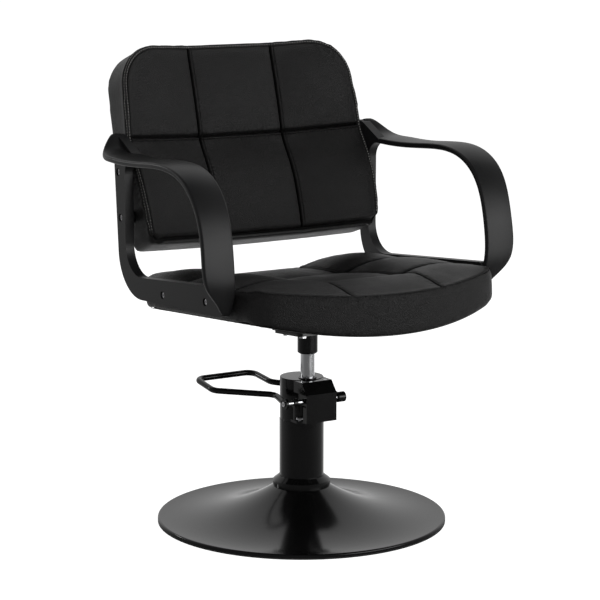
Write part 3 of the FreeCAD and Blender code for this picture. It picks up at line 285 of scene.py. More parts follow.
def makeFinish(name):
    values = finishes[name]
    material = bpy.data.materials.new(name)
    material.use_nodes = True
    tree = material.node_tree
    link = tree.links.new
    shader = tree.nodes["Principled BSDF"]
    for socket, value in values["plain"].items():
        shader.inputs[socket].default_value = value
    place = tree.nodes.new("ShaderNodeTexCoord")
    effect = tree.nodes.new("ShaderNodeGroup")
    effect.node_tree = effects[values["effect"]]
    link(place.outputs["Object"], effect.inputs["Position"])
    for socket, value in values["inputs"].items():
        effect.inputs[socket].default_value = value
    colour = tree.nodes.new("ShaderNodeMix")
    colour.data_type = "RGBA"
    colour.inputs[6].default_value = (*values["colours"][0], 1)
    colour.inputs[7].default_value = (*values["colours"][1], 1)
    link(effect.outputs["Patch"], colour.inputs[0])
    rough = tree.nodes.new("ShaderNodeMapRange")
    for index, number in enumerate((*patchRange, *values["roughness"]), 1):
        rough.inputs[index].default_value = number
    link(effect.outputs["Patch"], rough.inputs["Value"])
    shown, dullness = colour.outputs[2], rough.outputs[0]
    if name == "leatherette":
        # Painted shade: the bottoms of its seams, marked on the mesh by the crease attribute, are painted
        # nearly black and made dull
        seamShadeMask = tree.nodes.new("ShaderNodeAttribute")
        seamShadeMask.attribute_name = "crease"
        shade = tree.nodes.new("ShaderNodeMix")
        shade.data_type = "RGBA"
        shade.inputs[7].default_value = (*seamShadePaint["colour"], 1)
        link(seamShadeMask.outputs["Fac"], shade.inputs[0])
        link(shown, shade.inputs[6])
        shown = shade.outputs[2]
        dull = mathNode(tree, "MULTIPLY", seamShadeMask.outputs["Fac"], seamShadePaint["dulling"])
        dullness = mathNode(tree, "ADD", dullness, dull)
    link(shown, shader.inputs["Base Color"])
    link(dullness, shader.inputs["Roughness"])
    bump = tree.nodes.new("ShaderNodeBump")
    bump.inputs["Strength"].default_value = values["bump"]
    bump.inputs["Distance"].default_value = values["depth"]
    link(effect.outputs["Height"], bump.inputs["Height"])
    link(bump.outputs["Normal"], shader.inputs["Normal"])
    return material


materials = {name: makeFinish(name) for name in finishes}

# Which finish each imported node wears
nodeFinishes = {
    "basePaint": ["base_disc"],
    "sealBlack": ["floor_pad", "ram_seal", "piston_seal"],
    "steel": ["ballast_plate", "column_flange", "cylinder_base", "inner_cylinder", "piston_head", "plunger"],
    "oiledSteel": ["pump_lever", "plunger_spring"],
    "zinc": ["base_bolts", "base_nuts", "plate_bolts", "arm_screws_left", "arm_screws_right", "cover_screws",
             "release_button", "pedal_screws"],
    "blackPlastic": ["collar", "gland"],
    "pumpPaint": ["column_tube", "pump_head", "pump_cover", "ram_socket", "seat_plate", "release_arm",
                  "pedal_loop"],
    "bronze": ["ram_bush", "thrust_washer"],
    "chrome": ["ram", "pedal_shaft"],
    "plywood": ["seat_battens", "back_battens"],
    # The boards under the seat and the back are made near-black
    "nearBlackPly": ["mount_block", "seat_board", "back_board"],
    "underCloth": ["underside_cloth"],
    "leatherette": ["back_rear_panel"],
    "armSkin": ["arm_left", "arm_right"],
}
for finish, names in nodeFinishes.items():
    for name in names:
        for holder in nodes[name].material_slots:
            holder.material = materials[finish]
print("finishes made:", len(materials))


def newObject(name, mesh):
    made = bpy.data.objects.new(name, mesh)
    scene.collection.objects.link(made)
    return made


def plainMesh(source):
    graph = bpy.context.evaluated_depsgraph_get()
    return bpy.data.meshes.new_from_object(source.evaluated_get(graph), depsgraph=graph)


def settle(source):
    # The evaluated result becomes the object's own mesh, with no modifier left
    mesh = plainMesh(source)
    source.modifiers.clear()
    source.data = mesh
    return mesh


def pointsOf(mesh):
    flat = np.empty(len(mesh.vertices) * 3)
    mesh.vertices.foreach_get("co", flat)
    return flat.reshape(-1, 3)


def normalsOf(mesh):
    flat = np.empty(len(mesh.vertices) * 3)
    mesh.vertices.foreach_get("normal", flat)
    return flat.reshape(-1, 3)


def setPoints(mesh, points):
    mesh.vertices.foreach_set("co", np.ascontiguousarray(points).ravel())
    mesh.update()


def evened(mesh, values, share, rounds):
    # Each point's values go by its share toward the mean of its neighbours' values
    flat = np.empty(len(mesh.edges) * 2, dtype=np.int64)
    mesh.edges.foreach_get("vertices", flat)
    first, second = flat.reshape(-1, 2).T
    size = len(values)
    count = np.bincount(first, minlength=size) + np.bincount(second, minlength=size)
    for turn in range(rounds):
        mean = np.empty_like(values)
        for axis in range(values.shape[1]):
            total = np.bincount(first, values[second, axis], size)
            total += np.bincount(second, values[first, axis], size)
            mean[:, axis] = total / np.maximum(count, 1)
        values = values + (mean - values) * share[:, None]
    return values


def relax(mesh, share, rounds):
    setPoints(mesh, evened(mesh, pointsOf(mesh), share, rounds))


def refine(mesh, chosen):
    # Quarters the faces whose points are all chosen
    work = bmesh.new()
    work.from_mesh(mesh)
    faces = [face for face in work.faces if all(chosen[corner.index] for corner in face.verts)]
    edges = list({edge for face in faces for edge in face.edges})
    bmesh.ops.subdivide_edges(work, edges=edges, cuts=1, use_grid_fill=True)
    bmesh.ops.triangulate(work, faces=[face for face in work.faces if len(face.verts) > 4])
    work.to_mesh(mesh)
    work.free()
    mesh.update()


def cushionCopy(name, nodeName, place, voxel):
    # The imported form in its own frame, remeshed so that its rows run along the seams
    mesh = nodes[nodeName].data.copy()
    mesh.transform(place.inverted())
    work = bmesh.new()
    work.from_mesh(mesh)
    bmesh.ops.remove_doubles(work, verts=work.verts, dist=1e-5)
    work.to_mesh(mesh)
    work.free()
    mesh.materials.clear()
    made = newObject(name, mesh)
    remesh = made.modifiers.new("rows", "REMESH")
    remesh.mode = "VOXEL"
    remesh.voxel_size = voxel
    settle(made)
    return made


def treeOf(mesh):
    faces = [tuple(face.vertices) for face in mesh.polygons]
    return BVHTree.FromPolygons([vertex.co for vertex in mesh.vertices], faces)


def runningMean(values, span):
    return np.convolve(values, np.ones(span) / span, mode="valid")


class Border:
    # The top edge of a cushion, found on its form
    spacing = 0.002
    rim = 0.004
    span = 9

    def __init__(self, mesh, inset):
        points = pointsOf(mesh)
        hull = convex_hull_2d([Vector(point[:2]) for point in points])
        ring = np.array([points[index][:2] for index in hull])
        ring = np.vstack([ring, ring[:1]])
        steps = np.linalg.norm(np.diff(ring, axis=0), axis=1)
        along = np.concatenate([[0], np.cumsum(steps)])
        count = int(along[-1] / self.spacing)
        where = np.linspace(0, along[-1], count, endpoint=False)
        plan = np.stack([np.interp(where, along, ring[:, axis]) for axis in range(2)], axis=1)
        tangent = np.roll(plan, -3, axis=0) - np.roll(plan, 3, axis=0)
        tangent /= np.linalg.norm(tangent, axis=1)[:, None]
        self.outward = np.stack([tangent[:, 1], -tangent[:, 0]], axis=1)
        if np.sum(self.outward * (plan - plan.mean(axis=0))) < 0:
            self.outward = -self.outward
        self.plan = plan - self.outward * inset
        tree = treeOf(mesh)
        heights = []
        for spot, out in zip(self.plan, self.outward):
            inner = spot - out * self.rim
            hit = tree.ray_cast(Vector((inner[0], inner[1], 1)), Vector((0, 0, -1)))[0]
            heights.append(hit.z if hit else np.nan)
        heights = np.array(heights)
        bad = np.isnan(heights)
        index = np.arange(count)
        heights[bad] = np.interp(index[bad], index[~bad], heights[~bad])
        half = self.span // 2
        self.heights = runningMean(np.concatenate([heights[-half:], heights, heights[:half]]), self.span)
        self.tree = KDTree(count)
        for index, spot in enumerate(self.plan):
            self.tree.insert((spot[0], spot[1], 0), index)
        self.tree.balance()

    def across(self, points):
        # Distance from the edge for each point: negative over the face, positive down the wall
        near = [self.tree.find((x, y, 0)) for x, y in points[:, :2].tolist()]
        index = np.array([found[1] for found in near])
        distance = np.array([found[2] for found in near])
        inside = np.sum((points[:, :2] - self.plan[index]) * self.outward[index], axis=1) < 0
        inward = np.where(inside, distance, 0)
        below = self.heights[index] - points[:, 2]
        return np.where(below > inward, below, -inward), inward, below


def bell(distance, width):
    return np.exp(-(distance / width) ** 2)


def ramp(distance, low, high):
    share = np.clip((distance - low) / (high - low), 0, 1)
    return share * share * (3 - 2 * share)


def nowhere(values, *others):
    return np.zeros(len(values))


pressureFrames = 20


def puff(made, pins, values):
    # The cover is blown up like a bag from its pinned seams, and how far it may go is capped
    group = made.vertex_groups.new(name="sewn")
    group.add([int(index) for index in np.flatnonzero(pins)], 1.0, "REPLACE")
    cloth = made.modifiers.new("cover", "CLOTH")
    settings = cloth.settings
    settings.quality = values["quality"]
    settings.mass = 0.3
    settings.tension_stiffness = values["tension"]
    settings.compression_stiffness = values["tension"]
    settings.shear_stiffness = values["tension"] / 3
    settings.bending_stiffness = values["bending"]
    settings.use_pressure = True
    settings.uniform_pressure_force = values["pressure"]
    settings.effector_weights.gravity = 0
    settings.vertex_group_mass = group.name
    cloth.collision_settings.use_self_collision = False
    cloth.point_cache.frame_start = 1
    cloth.point_cache.frame_end = pressureFrames
    rest = pointsOf(made.data)
    for moment in range(1, pressureFrames + 1):
        scene.frame_set(moment)
        made.evaluated_get(bpy.context.evaluated_depsgraph_get())
    blown = pointsOf(plainMesh(made))
    made.modifiers.clear()
    made.vertex_groups.clear()
    scene.frame_set(1)
    move = blown - rest
    reach = np.linalg.norm(move, axis=1)
    limit = np.minimum(1, values["cap"] / np.maximum(reach, 1e-9))
    print(made.name, "blown up by at most", round(float(reach.max()) * 1000, 1), "mm before its cap")
    return move * limit[:, None]


def seamProfile(across, look):
    # The panel before the seam rolls into a fold; the next starts with a flat lap held by stitches
    roll = -look["roll"] * np.exp(np.minimum(across, 0) / look["rollReach"]) * (across <= 0)
    rise = -look["sink"] * np.exp(-np.maximum(across, 0) / look["sinkReach"]) * (across > 0)
    lap = look["rise"] * ramp(across, 0.0006, 0.0024)
    lap *= 1 - ramp(across, look["lap"] - 0.001, look["lap"] + 0.0008)
    fold = -look["fold"] * bell(across + 0.4 * look["foldWidth"], look["foldWidth"])
    return roll + rise + lap + fold - look["dip"] * bell(across - look["lap"] - 0.0008, 0.0011)


def seamPaths(values):
    # Where the panel seams lie: the axis held, its value, the side of the lap and the seam's look
    across = [(0, x, 1, values["seamLook"]) for x in values["seamsAcross"]]
    return across + [(1, y, -1, values["crossLook"]) for y in values["seamsAlong"]]


def sewCushion(name, nodeName, place, values):
    made = cushionCopy(name, nodeName, place, values["voxel"])
    mesh = made.data
    border = Border(mesh, values["borderInset"])
    points = pointsOf(mesh)
    normals = normalsOf(mesh)
    edge, inward, below = border.across(points)
    onFace = (normals[:, 2] > 0.25) & (inward > 0.001)
    seams = seamPaths(values)
    nearSeam = np.zeros(len(points), dtype=bool)
    for axis, spot, side, look in seams:
        nearSeam |= onFace & (np.abs(points[:, axis] - spot) < values["pinReach"])
    onWall = (inward < 0.008) & (below > 0) & (values["wallFree"](points, below) > 0)
    free = (onFace & ~nearSeam & (np.abs(edge) > values["pinReach"])) | onWall
    swell = puff(made, ~free, values) - normals * (free * values["shrink"])[:, None]
    swell = evened(mesh, swell, np.full(len(points), 0.5), values["evenRounds"])
    setPoints(mesh, points + swell * (1 - ramp(below, 0.04, 0.065))[:, None])
    relax(mesh, np.maximum(np.where(free, 0.5, 0.1), 0.6 * bell(edge, values["edgeRound"])), 8)
    relax(mesh, 0.5 * values["lowerEdge"](points, normals, below), 12)
    refine(mesh, onFace | (inward < 0.012))
    points = pointsOf(mesh)
    edge, inward, below = border.across(points)
    facing = normalsOf(mesh)[:, 2] > 0.2
    shown = facing | (inward < 0.012)
    close = np.abs(edge) < values["fineReach"]
    for axis, spot, side, look in seams:
        close |= (np.abs(points[:, axis] - spot) < values["fineReach"]) & facing
    relax(mesh, np.where(shown, 0.5, 0.0), 2)
    refine(mesh, close & shown)
    relax(mesh, np.full(len(mesh.vertices), 0.5), 2)
    points = pointsOf(mesh)
    finest = np.zeros(len(points), dtype=bool)
    for axis, spot, side, look in seams:
        finest |= np.abs((points[:, axis] - spot) * side - 0.002) < values["finestReach"]
    refine(mesh, finest & (normalsOf(mesh)[:, 2] > 0.2))
    points = pointsOf(mesh)
    edge, inward, below = border.across(points)
    halves = np.full(len(points), 0.5)
    normals = evened(mesh, normalsOf(mesh), halves, 8)
    normals /= np.linalg.norm(normals, axis=1)[:, None]
    edge = evened(mesh, edge[:, None], halves, 3)[:, 0]
    lift = np.zeros(len(points))
    face = ramp(normals[:, 2], 0.1, 0.4) * ramp(inward, 0.002, 0.008)
    for axis, spot, side, look in seams:
        across = (points[:, axis] - spot) * side
        lift += face * seamProfile(across, look)
        along = points[:, 1 - axis]
        folds = np.sin(along * 520 + 3 * np.sin(along * 90)) + 0.7 * np.sin(along * 211 + 5)
        lift += face * look["pucker"] * folds * bell(np.abs(across) - 0.009, 0.006)
    lift += values["borderShape"](edge, points, below) * ((inward < 0.03) | (below < 0.004))
    points = points + normals * lift[:, None]
    points[:, 2] -= values["drop"] * ramp(below, 0.045, 0.085)
    setPoints(mesh, points)
    relax(mesh, 0.6 * values["deepGroove"](edge, points), 5)
    relax(mesh, 0.6 * ramp(below, 0.045, 0.060), values["footRounds"])
    # The crease attribute rises with how deep a point is sunk into a seam; the leatherette paints shade
    # there
    crease = mesh.attributes.new("crease", "FLOAT", "POINT")
    crease.data.foreach_set("value", ramp(-lift, 0.0012, values["paintedShadeDepth"]))
    mesh.polygons.foreach_set("use_smooth", np.ones(len(mesh.polygons), dtype=bool))
    mesh.materials.append(materials["leatherette"])
    print(name, "has", len(mesh.polygons), "faces")
    return made, border


def overFace(tree, x, y):
    return tree.ray_cast(Vector((x, y, 0.5)), Vector((0, 0, -1)))[0]


def unbroken(spots):
    # The stretches of a line that has gaps or jumps
    path = []
    for spot in spots:
        if spot is None or (path and (spot - path[-1]).length > 0.010):
            if len(path) > 4:
                yield path
            path = []
        if spot is not None:
            path.append(spot)
    if len(path) > 4:
        yield path


def faceRow(tree, axis, spot, low, high):
    # Points on the face along one line of stitches
    for value in np.arange(low, high, 0.004):
        yield overFace(tree, *((spot, value) if axis == 0 else (value, spot)))


def borderRow(tree, border, across, keep):
    # Points along the border: over the face for a negative distance, down the wall for a positive one
    for plan, out, height in zip(border.plan, border.outward, border.heights):
        if not keep(plan):
            yield None
        elif across < 0:
            yield overFace(tree, *(plan + out * across))
        else:
            start = plan + out * 0.05
            yield tree.ray_cast(Vector((*start, height - across)), Vector((-out[0], -out[1], 0)))[0]


def makeStitchTree():
    # Copies of one stitch along every spline of a curve
    tree = bpy.data.node_groups.new("stitchRow", "GeometryNodeTree")
    face = tree.interface
    face.new_socket("Geometry", in_out="INPUT", socket_type="NodeSocketGeometry")
    spacing = face.new_socket("Spacing", in_out="INPUT", socket_type="NodeSocketFloat")
    size = face.new_socket("Size", in_out="INPUT", socket_type="NodeSocketVector")
    look = face.new_socket("Finish", in_out="INPUT", socket_type="NodeSocketMaterial")
    jitter = face.new_socket("Unevenness", in_out="INPUT", socket_type="NodeSocketFloat")
    face.new_socket("Geometry", in_out="OUTPUT", socket_type="NodeSocketGeometry")
    make = tree.nodes.new
    link = tree.links.new
    source = make("NodeGroupInput")
    result = make("NodeGroupOutput")
    spots = make("GeometryNodeCurveToPoints")
    spots.mode = "LENGTH"
    link(source.outputs["Geometry"], spots.inputs["Curve"])
    link(source.outputs["Spacing"], spots.inputs["Length"])
    align = make("FunctionNodeAlignRotationToVector")
    align.axis = "Z"
    link(spots.outputs["Tangent"], align.inputs["Vector"])
    bead = make("GeometryNodeMeshUVSphere")
    bead.inputs["Segments"].default_value = 6
    bead.inputs["Rings"].default_value = 4
    bead.inputs["Radius"].default_value = 1.0
    shape = make("GeometryNodeTransform")
    link(bead.outputs["Mesh"], shape.inputs["Geometry"])
    link(source.outputs["Size"], shape.inputs["Scale"])
    smooth = make("GeometryNodeSetShadeSmooth")
    link(shape.outputs["Geometry"], smooth.inputs["Geometry"])
    spread = make("FunctionNodeRandomValue")
    spread.data_type = "FLOAT_VECTOR"
    spread.inputs["Seed"].default_value = 11
    low = make("ShaderNodeVectorMath")
    low.operation = "SUBTRACT"
    low.inputs[0].default_value = (1, 1, 1)
    high = make("ShaderNodeVectorMath")
    high.operation = "ADD"
    high.inputs[0].default_value = (1, 1, 1)
    link(source.outputs["Unevenness"], low.inputs[1])
    link(source.outputs["Unevenness"], high.inputs[1])
    link(low.outputs[0], spread.inputs[0])
    link(high.outputs[0], spread.inputs[1])
    copies = make("GeometryNodeInstanceOnPoints")
    link(spots.outputs["Points"], copies.inputs["Points"])
    link(smooth.outputs["Geometry"], copies.inputs["Instance"])
    link(align.outputs["Rotation"], copies.inputs["Rotation"])
    link(spread.outputs[0], copies.inputs["Scale"])
    real = make("GeometryNodeRealizeInstances")
    link(copies.outputs["Instances"], real.inputs["Geometry"])
    paint = make("GeometryNodeSetMaterial")
    link(real.outputs["Geometry"], paint.inputs["Geometry"])
    link(source.outputs["Finish"], paint.inputs["Material"])
    link(paint.outputs["Geometry"], result.inputs["Geometry"])
    return tree, {"spacing": spacing.identifier, "size": size.identifier, "look": look.identifier,
                  "jitter": jitter.identifier}


stitchTree, stitchSockets = makeStitchTree()


def curveOf(name, paths, closed=False):
    curve = bpy.data.curves.new(name, "CURVE")
    curve.dimensions = "3D"
    for path in paths:
        spline = curve.splines.new("POLY")
        spline.points.add(len(path) - 1)
        for point, spot in zip(spline.points, path):
            point.co = (*spot, 1)
        spline.use_cyclic_u = closed
    return curve


def rowsAlong(name, paths, place, values, finish):
    holder = newObject(name + "Path", curveOf(name, paths))
    modifier = holder.modifiers.new("row", "NODES")
    modifier.node_group = stitchTree
    modifier[stitchSockets["spacing"]] = values["spacing"]
    modifier[stitchSockets["size"]] = values["size"]
    modifier[stitchSockets["look"]] = materials[finish]
    modifier[stitchSockets["jitter"]] = values["jitter"]
    mesh = plainMesh(holder)
    bpy.data.objects.remove(holder)
    mesh.transform(place)
    return newObject(name, mesh)


def tubeAlong(name, path, place, radius, closed, finish):
    curve = curveOf(name, [path], closed)
    curve.bevel_depth = radius
    curve.bevel_resolution = 3
    curve.use_fill_caps = True
    holder = newObject(name + "Path", curve)
    mesh = plainMesh(holder)
    bpy.data.objects.remove(holder)
    mesh.transform(place)
    mesh.materials.clear()
    mesh.materials.append(materials[finish])
    mesh.polygons.foreach_set("use_smooth", np.ones(len(mesh.polygons), dtype=bool))
    return newObject(name, mesh)


def seatBorderShape(edge, points, below):
    # One thin seam with the panels rolling into it, over a puffed front
    seam = 0.0006 * bell(edge - 0.004, 0.002) - 0.0030 * bell(edge, 0.0015)
    seam += 0.0010 * bell(edge + 0.006, 0.005)
    front = ramp(-points[:, 1], 0.12, 0.26)
    return seam + 0.0035 * front * ramp(below, 0.002, 0.018) * (1 - ramp(below, 0.03, 0.075))


seatCushion = {
    "voxel": 0.005,
    "borderInset": 0.0015,
    "seamsAcross": (-0.099, 0.099),
    "seamsAlong": (0.0335, -0.1655),
    "pinReach": 0.006,
    "fineReach": 0.009,
    "edgeRound": 0.006,
    "wallFree": lambda points, below: (points[:, 1] < -0.2) & (below > 0.008) & (below < 0.07),
    "lowerEdge": lambda points, normals, below: ramp(below, 0.055, 0.075),
    "finestReach": 0.007,
    "evenRounds": 12,
    "drop": 0.005,
    "footRounds": 14,
    "paintedShadeDepth": 0.006,
    "shrink": 0.003,
    "cap": 0.011,
    "pressure": 4.0,
    "tension": 20.0,
    "bending": 1.0,
    "quality": 4,
    "seamLook": {
        "roll": 0.0030, "rollReach": 0.010, "sink": 0.0030, "sinkReach": 0.014, "rise": 0.0008,
        "lap": 0.0050, "fold": 0.0026, "foldWidth": 0.0016, "dip": 0.0006, "pucker": 0.0003,
    },
    "crossLook": {
        "roll": 0.0050, "rollReach": 0.012, "sink": 0.0050, "sinkReach": 0.018, "rise": 0.0008,
        "lap": 0.0050, "fold": 0.0030, "foldWidth": 0.0018, "dip": 0.0006, "pucker": 0.0003,
    },
    "borderShape": seatBorderShape,
    "deepGroove": nowhere,
}
stitchSizes = {"spacing": 0.0054, "size": (0.00095, 0.00095, 0.0014), "jitter": 0.08}
bandStitches = {"spacing": 0.0058, "size": (0.00105, 0.00105, 0.0017), "jitter": 0.10}
staples = {"spacing": 0.027, "size": (0.0005, 0.0005, 0.0055), "jitter": 0.03, "inset": 0.016}


def panelStitches(tree, values, low, high):
    paths = []
    for axis, spot, side, look in seamPaths(values):
        paths += unbroken(faceRow(tree, axis, spot + side * look["lap"], low, high))
    return paths


def makeSeat():
    place = placeSeat()
    made, border = sewCushion("seatCushion", "seat_cushion", place, seatCushion)
    tree = treeOf(made.data)
    paths = panelStitches(tree, seatCushion, -0.34, 0.28)
    paths += unbroken(borderRow(tree, border, -0.0034, lambda plan: True))
    threads = rowsAlong("seatStitches", paths, place, stitchSizes, "thread")
    made.data.transform(place)
    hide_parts("seat_cushion")
    for piece in (made, threads):
        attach(piece, "chair")
    return border


def makeStaples(border):
    # Wire staples through the underside cloth, all round its edge
    place = placeSeat()
    mesh = nodes["underside_cloth"].data.copy()
    mesh.transform(place.inverted())
    tree = treeOf(mesh)
    path = []
    for plan, out in zip(border.plan, border.outward):
        spot = plan - out * staples["inset"]
        hit = tree.ray_cast(Vector((*spot, -0.5)), Vector((0, 0, 1)))[0]
        if hit:
            path.append(hit)
    bpy.data.meshes.remove(mesh)
    made = rowsAlong("clothStaples", [path], place, staples, "zinc")
    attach(made, "chair")


seatBorder = makeSeat()
makeStaples(seatBorder)
print("seat sewn")


def backBorderShape(edge, points, below):
    # A felled band between two grooves runs round the edge; at the foot one deep groove holds the piping
    band = backCushion["bandHalf"]
    height = points[:, 1]
    foot = ramp(-height, 0.194, 0.206)
    grooves = -backCushion["bandGroove"] * (bell(edge + band, 0.0015) + 0.7 * bell(edge - band, 0.0015))
    raised = 0.0010 * ramp(edge, -band, 0.0025 - band) * (1 - ramp(edge, band - 0.0025, band))
    raised += 0.0042 * bell(edge, 0.012)
    pucker = np.sin(height * 380 + 4 * np.sin(height * 61)) * bell(edge - 0.014, 0.009)
    side = ramp(-height, 0.02, 0.06) * (1 - ramp(-height, 0.17, 0.2)) * (points[:, 0] < -0.24)
    groove = -backCushion["footGroove"] * bell(edge + 0.002, backCushion["footWidth"])
    groove *= 1 - 0.55 * ramp(np.abs(points[:, 0]), 0.225, 0.255)
    return (grooves + raised) * (1 - foot) + groove * foot + 0.0012 * pucker * side


backCushion = {
    "voxel": 0.005,
    "borderInset": 0.0005,
    "seamsAcross": (-0.097, 0.097),
    "seamsAlong": (0.0,),
    "pinReach": 0.006,
    "fineReach": 0.011,
    "finestReach": 0.008,
    "edgeRound": 0.010,
    "evenRounds": 8,
    "drop": 0.0,
    "footRounds": 6,
    "paintedShadeDepth": 0.006,
    "wallFree": nowhere,
    "lowerEdge": lambda points, normals, below: bell(normals[:, 2] + 0.7, 0.25),
    "shrink": 0.003,
    "cap": 0.011,
    "pressure": 4.0,
    "tension": 20.0,
    "bending": 1.0,
    "quality": 4,
    "seamLook": {
        "roll": 0.0030, "rollReach": 0.008, "sink": 0.0036, "sinkReach": 0.013, "rise": 0.0016,
        "lap": 0.0056, "fold": 0.0045, "foldWidth": 0.0019, "dip": 0.0012, "pucker": 0.00025,
    },
    "crossLook": {
        "roll": 0.0060, "rollReach": 0.0065, "sink": 0.0026, "sinkReach": 0.014, "rise": 0.0018,
        "lap": 0.0056, "fold": 0.0060, "foldWidth": 0.0030, "dip": 0.0012, "pucker": 0.0002,
    },
    "footStart": -0.19,
    "bandHalf": 0.0060,
    "bandGroove": 0.0032,
    "footGroove": 0.0200,
    "footWidth": 0.0095,
    "pipingRadius": 0.0017,
    "pipingDepth": 0.0130,
    "borderShape": backBorderShape,
    "deepGroove": lambda edge, points: bell(edge, 0.014) * ramp(-points[:, 1], 0.188, 0.200),
}


def footPiping(tree, border, values):
    # The line of the piping: over the bottom of the foot's groove, and into the cover at both ends
    path = []
    for plan, out, height in zip(border.plan, border.outward, border.heights):
        if plan[1] > backCushion["footStart"] or out[1] > -0.8:
            continue
        slant = Vector((out[0], out[1], 1)).normalized()
        corner = Vector((plan[0], plan[1], height))
        hit = tree.ray_cast(corner + slant * 0.04, -slant)[0]
        if hit:
            path.append((plan[0], *(hit + slant * (values["footGroove"] - values["pipingDepth"]))))
    path = np.array(sorted(path))[:, 1:]
    smooth = np.stack([runningMean(path[:, axis], 9) for axis in range(3)], axis=1)
    ends = np.minimum(np.arange(len(smooth)), np.arange(len(smooth))[::-1])
    smooth[:, 2] -= 0.008 * (1 - ramp(ends, 0, 6))
    return [Vector(point) for point in smooth]


def makeBack():
    place = placeBack()
    made, border = sewCushion("backCushion", "back_cushion", place, backCushion)
    tree = treeOf(made.data)
    paths = panelStitches(tree, backCushion, -0.28, 0.28)
    threads = rowsAlong("backStitches", paths, place, stitchSizes, "thread")
    rows = []
    for across in (-0.0034, 0.0034):
        rows += unbroken(borderRow(tree, border, across, lambda plan: plan[1] > backCushion["footStart"]))
    # The band stitches wear the pale thread that paints their glints
    bandThreads = rowsAlong("bandStitches", rows, place, bandStitches, "paintedGlintThread")
    line = footPiping(tree, border, backCushion)
    piping = tubeAlong("backPiping", line, place, backCushion["pipingRadius"], False, "smoothHide")
    made.data.transform(place)
    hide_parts("back_cushion")
    for piece in (made, threads, bandThreads, piping):
        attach(piece, "chair")


def rearBorderShape(edge, points, below):
    return -0.0025 * bell(edge + 0.002, 0.0022)


rearPad = {
    "voxel": 0.005,
    "borderInset": 0.001,
    "seamsAcross": (),
    "seamsAlong": (),
    "pinReach": 0.006,
    "fineReach": 0.006,
    "finestReach": 0.0,
    "edgeRound": 0.006,
    "evenRounds": 8,
    "drop": 0.0,
    "footRounds": 6,
    "paintedShadeDepth": 0.006,
    "wallFree": nowhere,
    "lowerEdge": nowhere,
    "shrink": 0.002,
    "cap": 0.005,
    "pressure": 2.0,
    "tension": 20.0,
    "bending": 1.0,
    "quality": 4,
    "weltRadius": 0.0028,
    "borderShape": rearBorderShape,
    "deepGroove": nowhere,
}


def makeRearPad():
    # The padded panel over the back of the frame, with a welt all round it
    place = placeBack() @ Matrix.Rotation(math.radians(180), 4, "Y")
    made, border = sewCushion("backRearPad", "back_rear_panel", place, rearPad)
    ring = zip(border.plan, border.outward, border.heights)
    line = [(*(plan + out * 0.002), height - 0.001) for plan, out, height in ring]
    welt = tubeAlong("rearWelt", line, place, rearPad["weltRadius"], True, "smoothHide")
    made.data.transform(place)
    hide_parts("back_rear_panel")
    for piece in (made, welt):
        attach(piece, "chair")


makeBack()
print("back sewn")
makeRearPad()
print("rear panel covered")

studio = {
    "white": 1.0,
    "ambient": 0.40,
    "backdropTop": (0.80, 0.97),
    "behind": (-0.95, -0.40, 0.78, 0.27),
    "before": (-0.40, 0.85, 1.0, 0.45),
    "panelWay": (0.45, -0.88, 0.139),
    "panel": (0.84, 0.965, 0.0, 4.6),
    "panelFoot": (0.0, 0.10),
    "panelTop": (0.14, 0.42, 1.0, 0.27),
    "floorPanel": (2.3, 3.0, 0.0, 0.6),
    "floorWhite": 0.80,
    "floorGlow": 0.88,
    "floorShade": 0.45,
    "keyPower": 80.0,
    "fillPower": 30.0,
    "rimPower": 30.0,
    "glintPower": 6.0,
    "cameraSpot": (-2.28811, -3.68373, 1.23283),
    "cameraTurn": (79.7395, -0.0553, -31.7902),
    "lens": 133.1,
}


def makeBackdropGroup():
    # What glossy surfaces see each way: the pale backdrop behind, a light panel in front
    tree, source, result = startGroup(
        "backdropGlow", [("Direction", "NodeSocketVector", None)],
        [("Strength", "NodeSocketFloat"), ("Panel", "NodeSocketFloat")])
    link = tree.links.new

    def worked(operation, value, other=None):
        node = tree.nodes.new("ShaderNodeVectorMath")
        node.operation = operation
        link(value, node.inputs[0])
        if other is not None:
            node.inputs[1].default_value = other
        return node.outputs["Value" if operation == "DOT_PRODUCT" else "Vector"]

    way = source.outputs["Direction"]
    split = tree.nodes.new("ShaderNodeSeparateXYZ")
    link(way, split.inputs[0])
    height = split.outputs["Z"]
    level = worked("NORMALIZE", worked("MULTIPLY", way, (1, 1, 0)))
    front = worked("DOT_PRODUCT", level, Vector((*studio["cameraSpot"][:2], 0)).normalized())
    around = rangeNode(tree, height, *studio["backdropTop"], 1, 0)
    behind = rangeNode(tree, front, *studio["behind"])
    before = rangeNode(tree, front, *studio["before"])
    pale = mathNode(tree, "MULTIPLY", around, mathNode(tree, "MULTIPLY", behind, before))
    toPanel = worked("DOT_PRODUCT", way, Vector(studio["panelWay"]).normalized())
    panel = rangeNode(tree, toPanel, *studio["panel"])
    low = rangeNode(tree, height, *studio["panelFoot"], 0, 1)
    high = rangeNode(tree, height, *studio["panelTop"])
    shown = mathNode(tree, "MULTIPLY", panel, mathNode(tree, "MULTIPLY", low, high))
    link(mathNode(tree, "MAXIMUM", pale, shown), result.inputs["Strength"])
    link(panel, result.inputs["Panel"])
    return tree


def mixByRay(tree, seen, light, mirrored, rest):
    # One look for the camera, one for glossy and transmission rays, one for the light on the object
    link = tree.links.new
    rays = tree.nodes.new("ShaderNodeLightPath")
    inner = tree.nodes.new("ShaderNodeMixShader")
    either = mathNode(tree, "MAXIMUM", rays.outputs["Is Glossy Ray"], rays.outputs["Is Transmission Ray"])
    link(either, inner.inputs[0])
    link(light, inner.inputs[1])
    link(mirrored, inner.inputs[2])
    mix = tree.nodes.new("ShaderNodeMixShader")
    link(rays.outputs["Is Camera Ray"], mix.inputs[0])
    link(inner.outputs[0], mix.inputs[1])
    link(seen, mix.inputs[2])
    link(mix.outputs[0], rest)


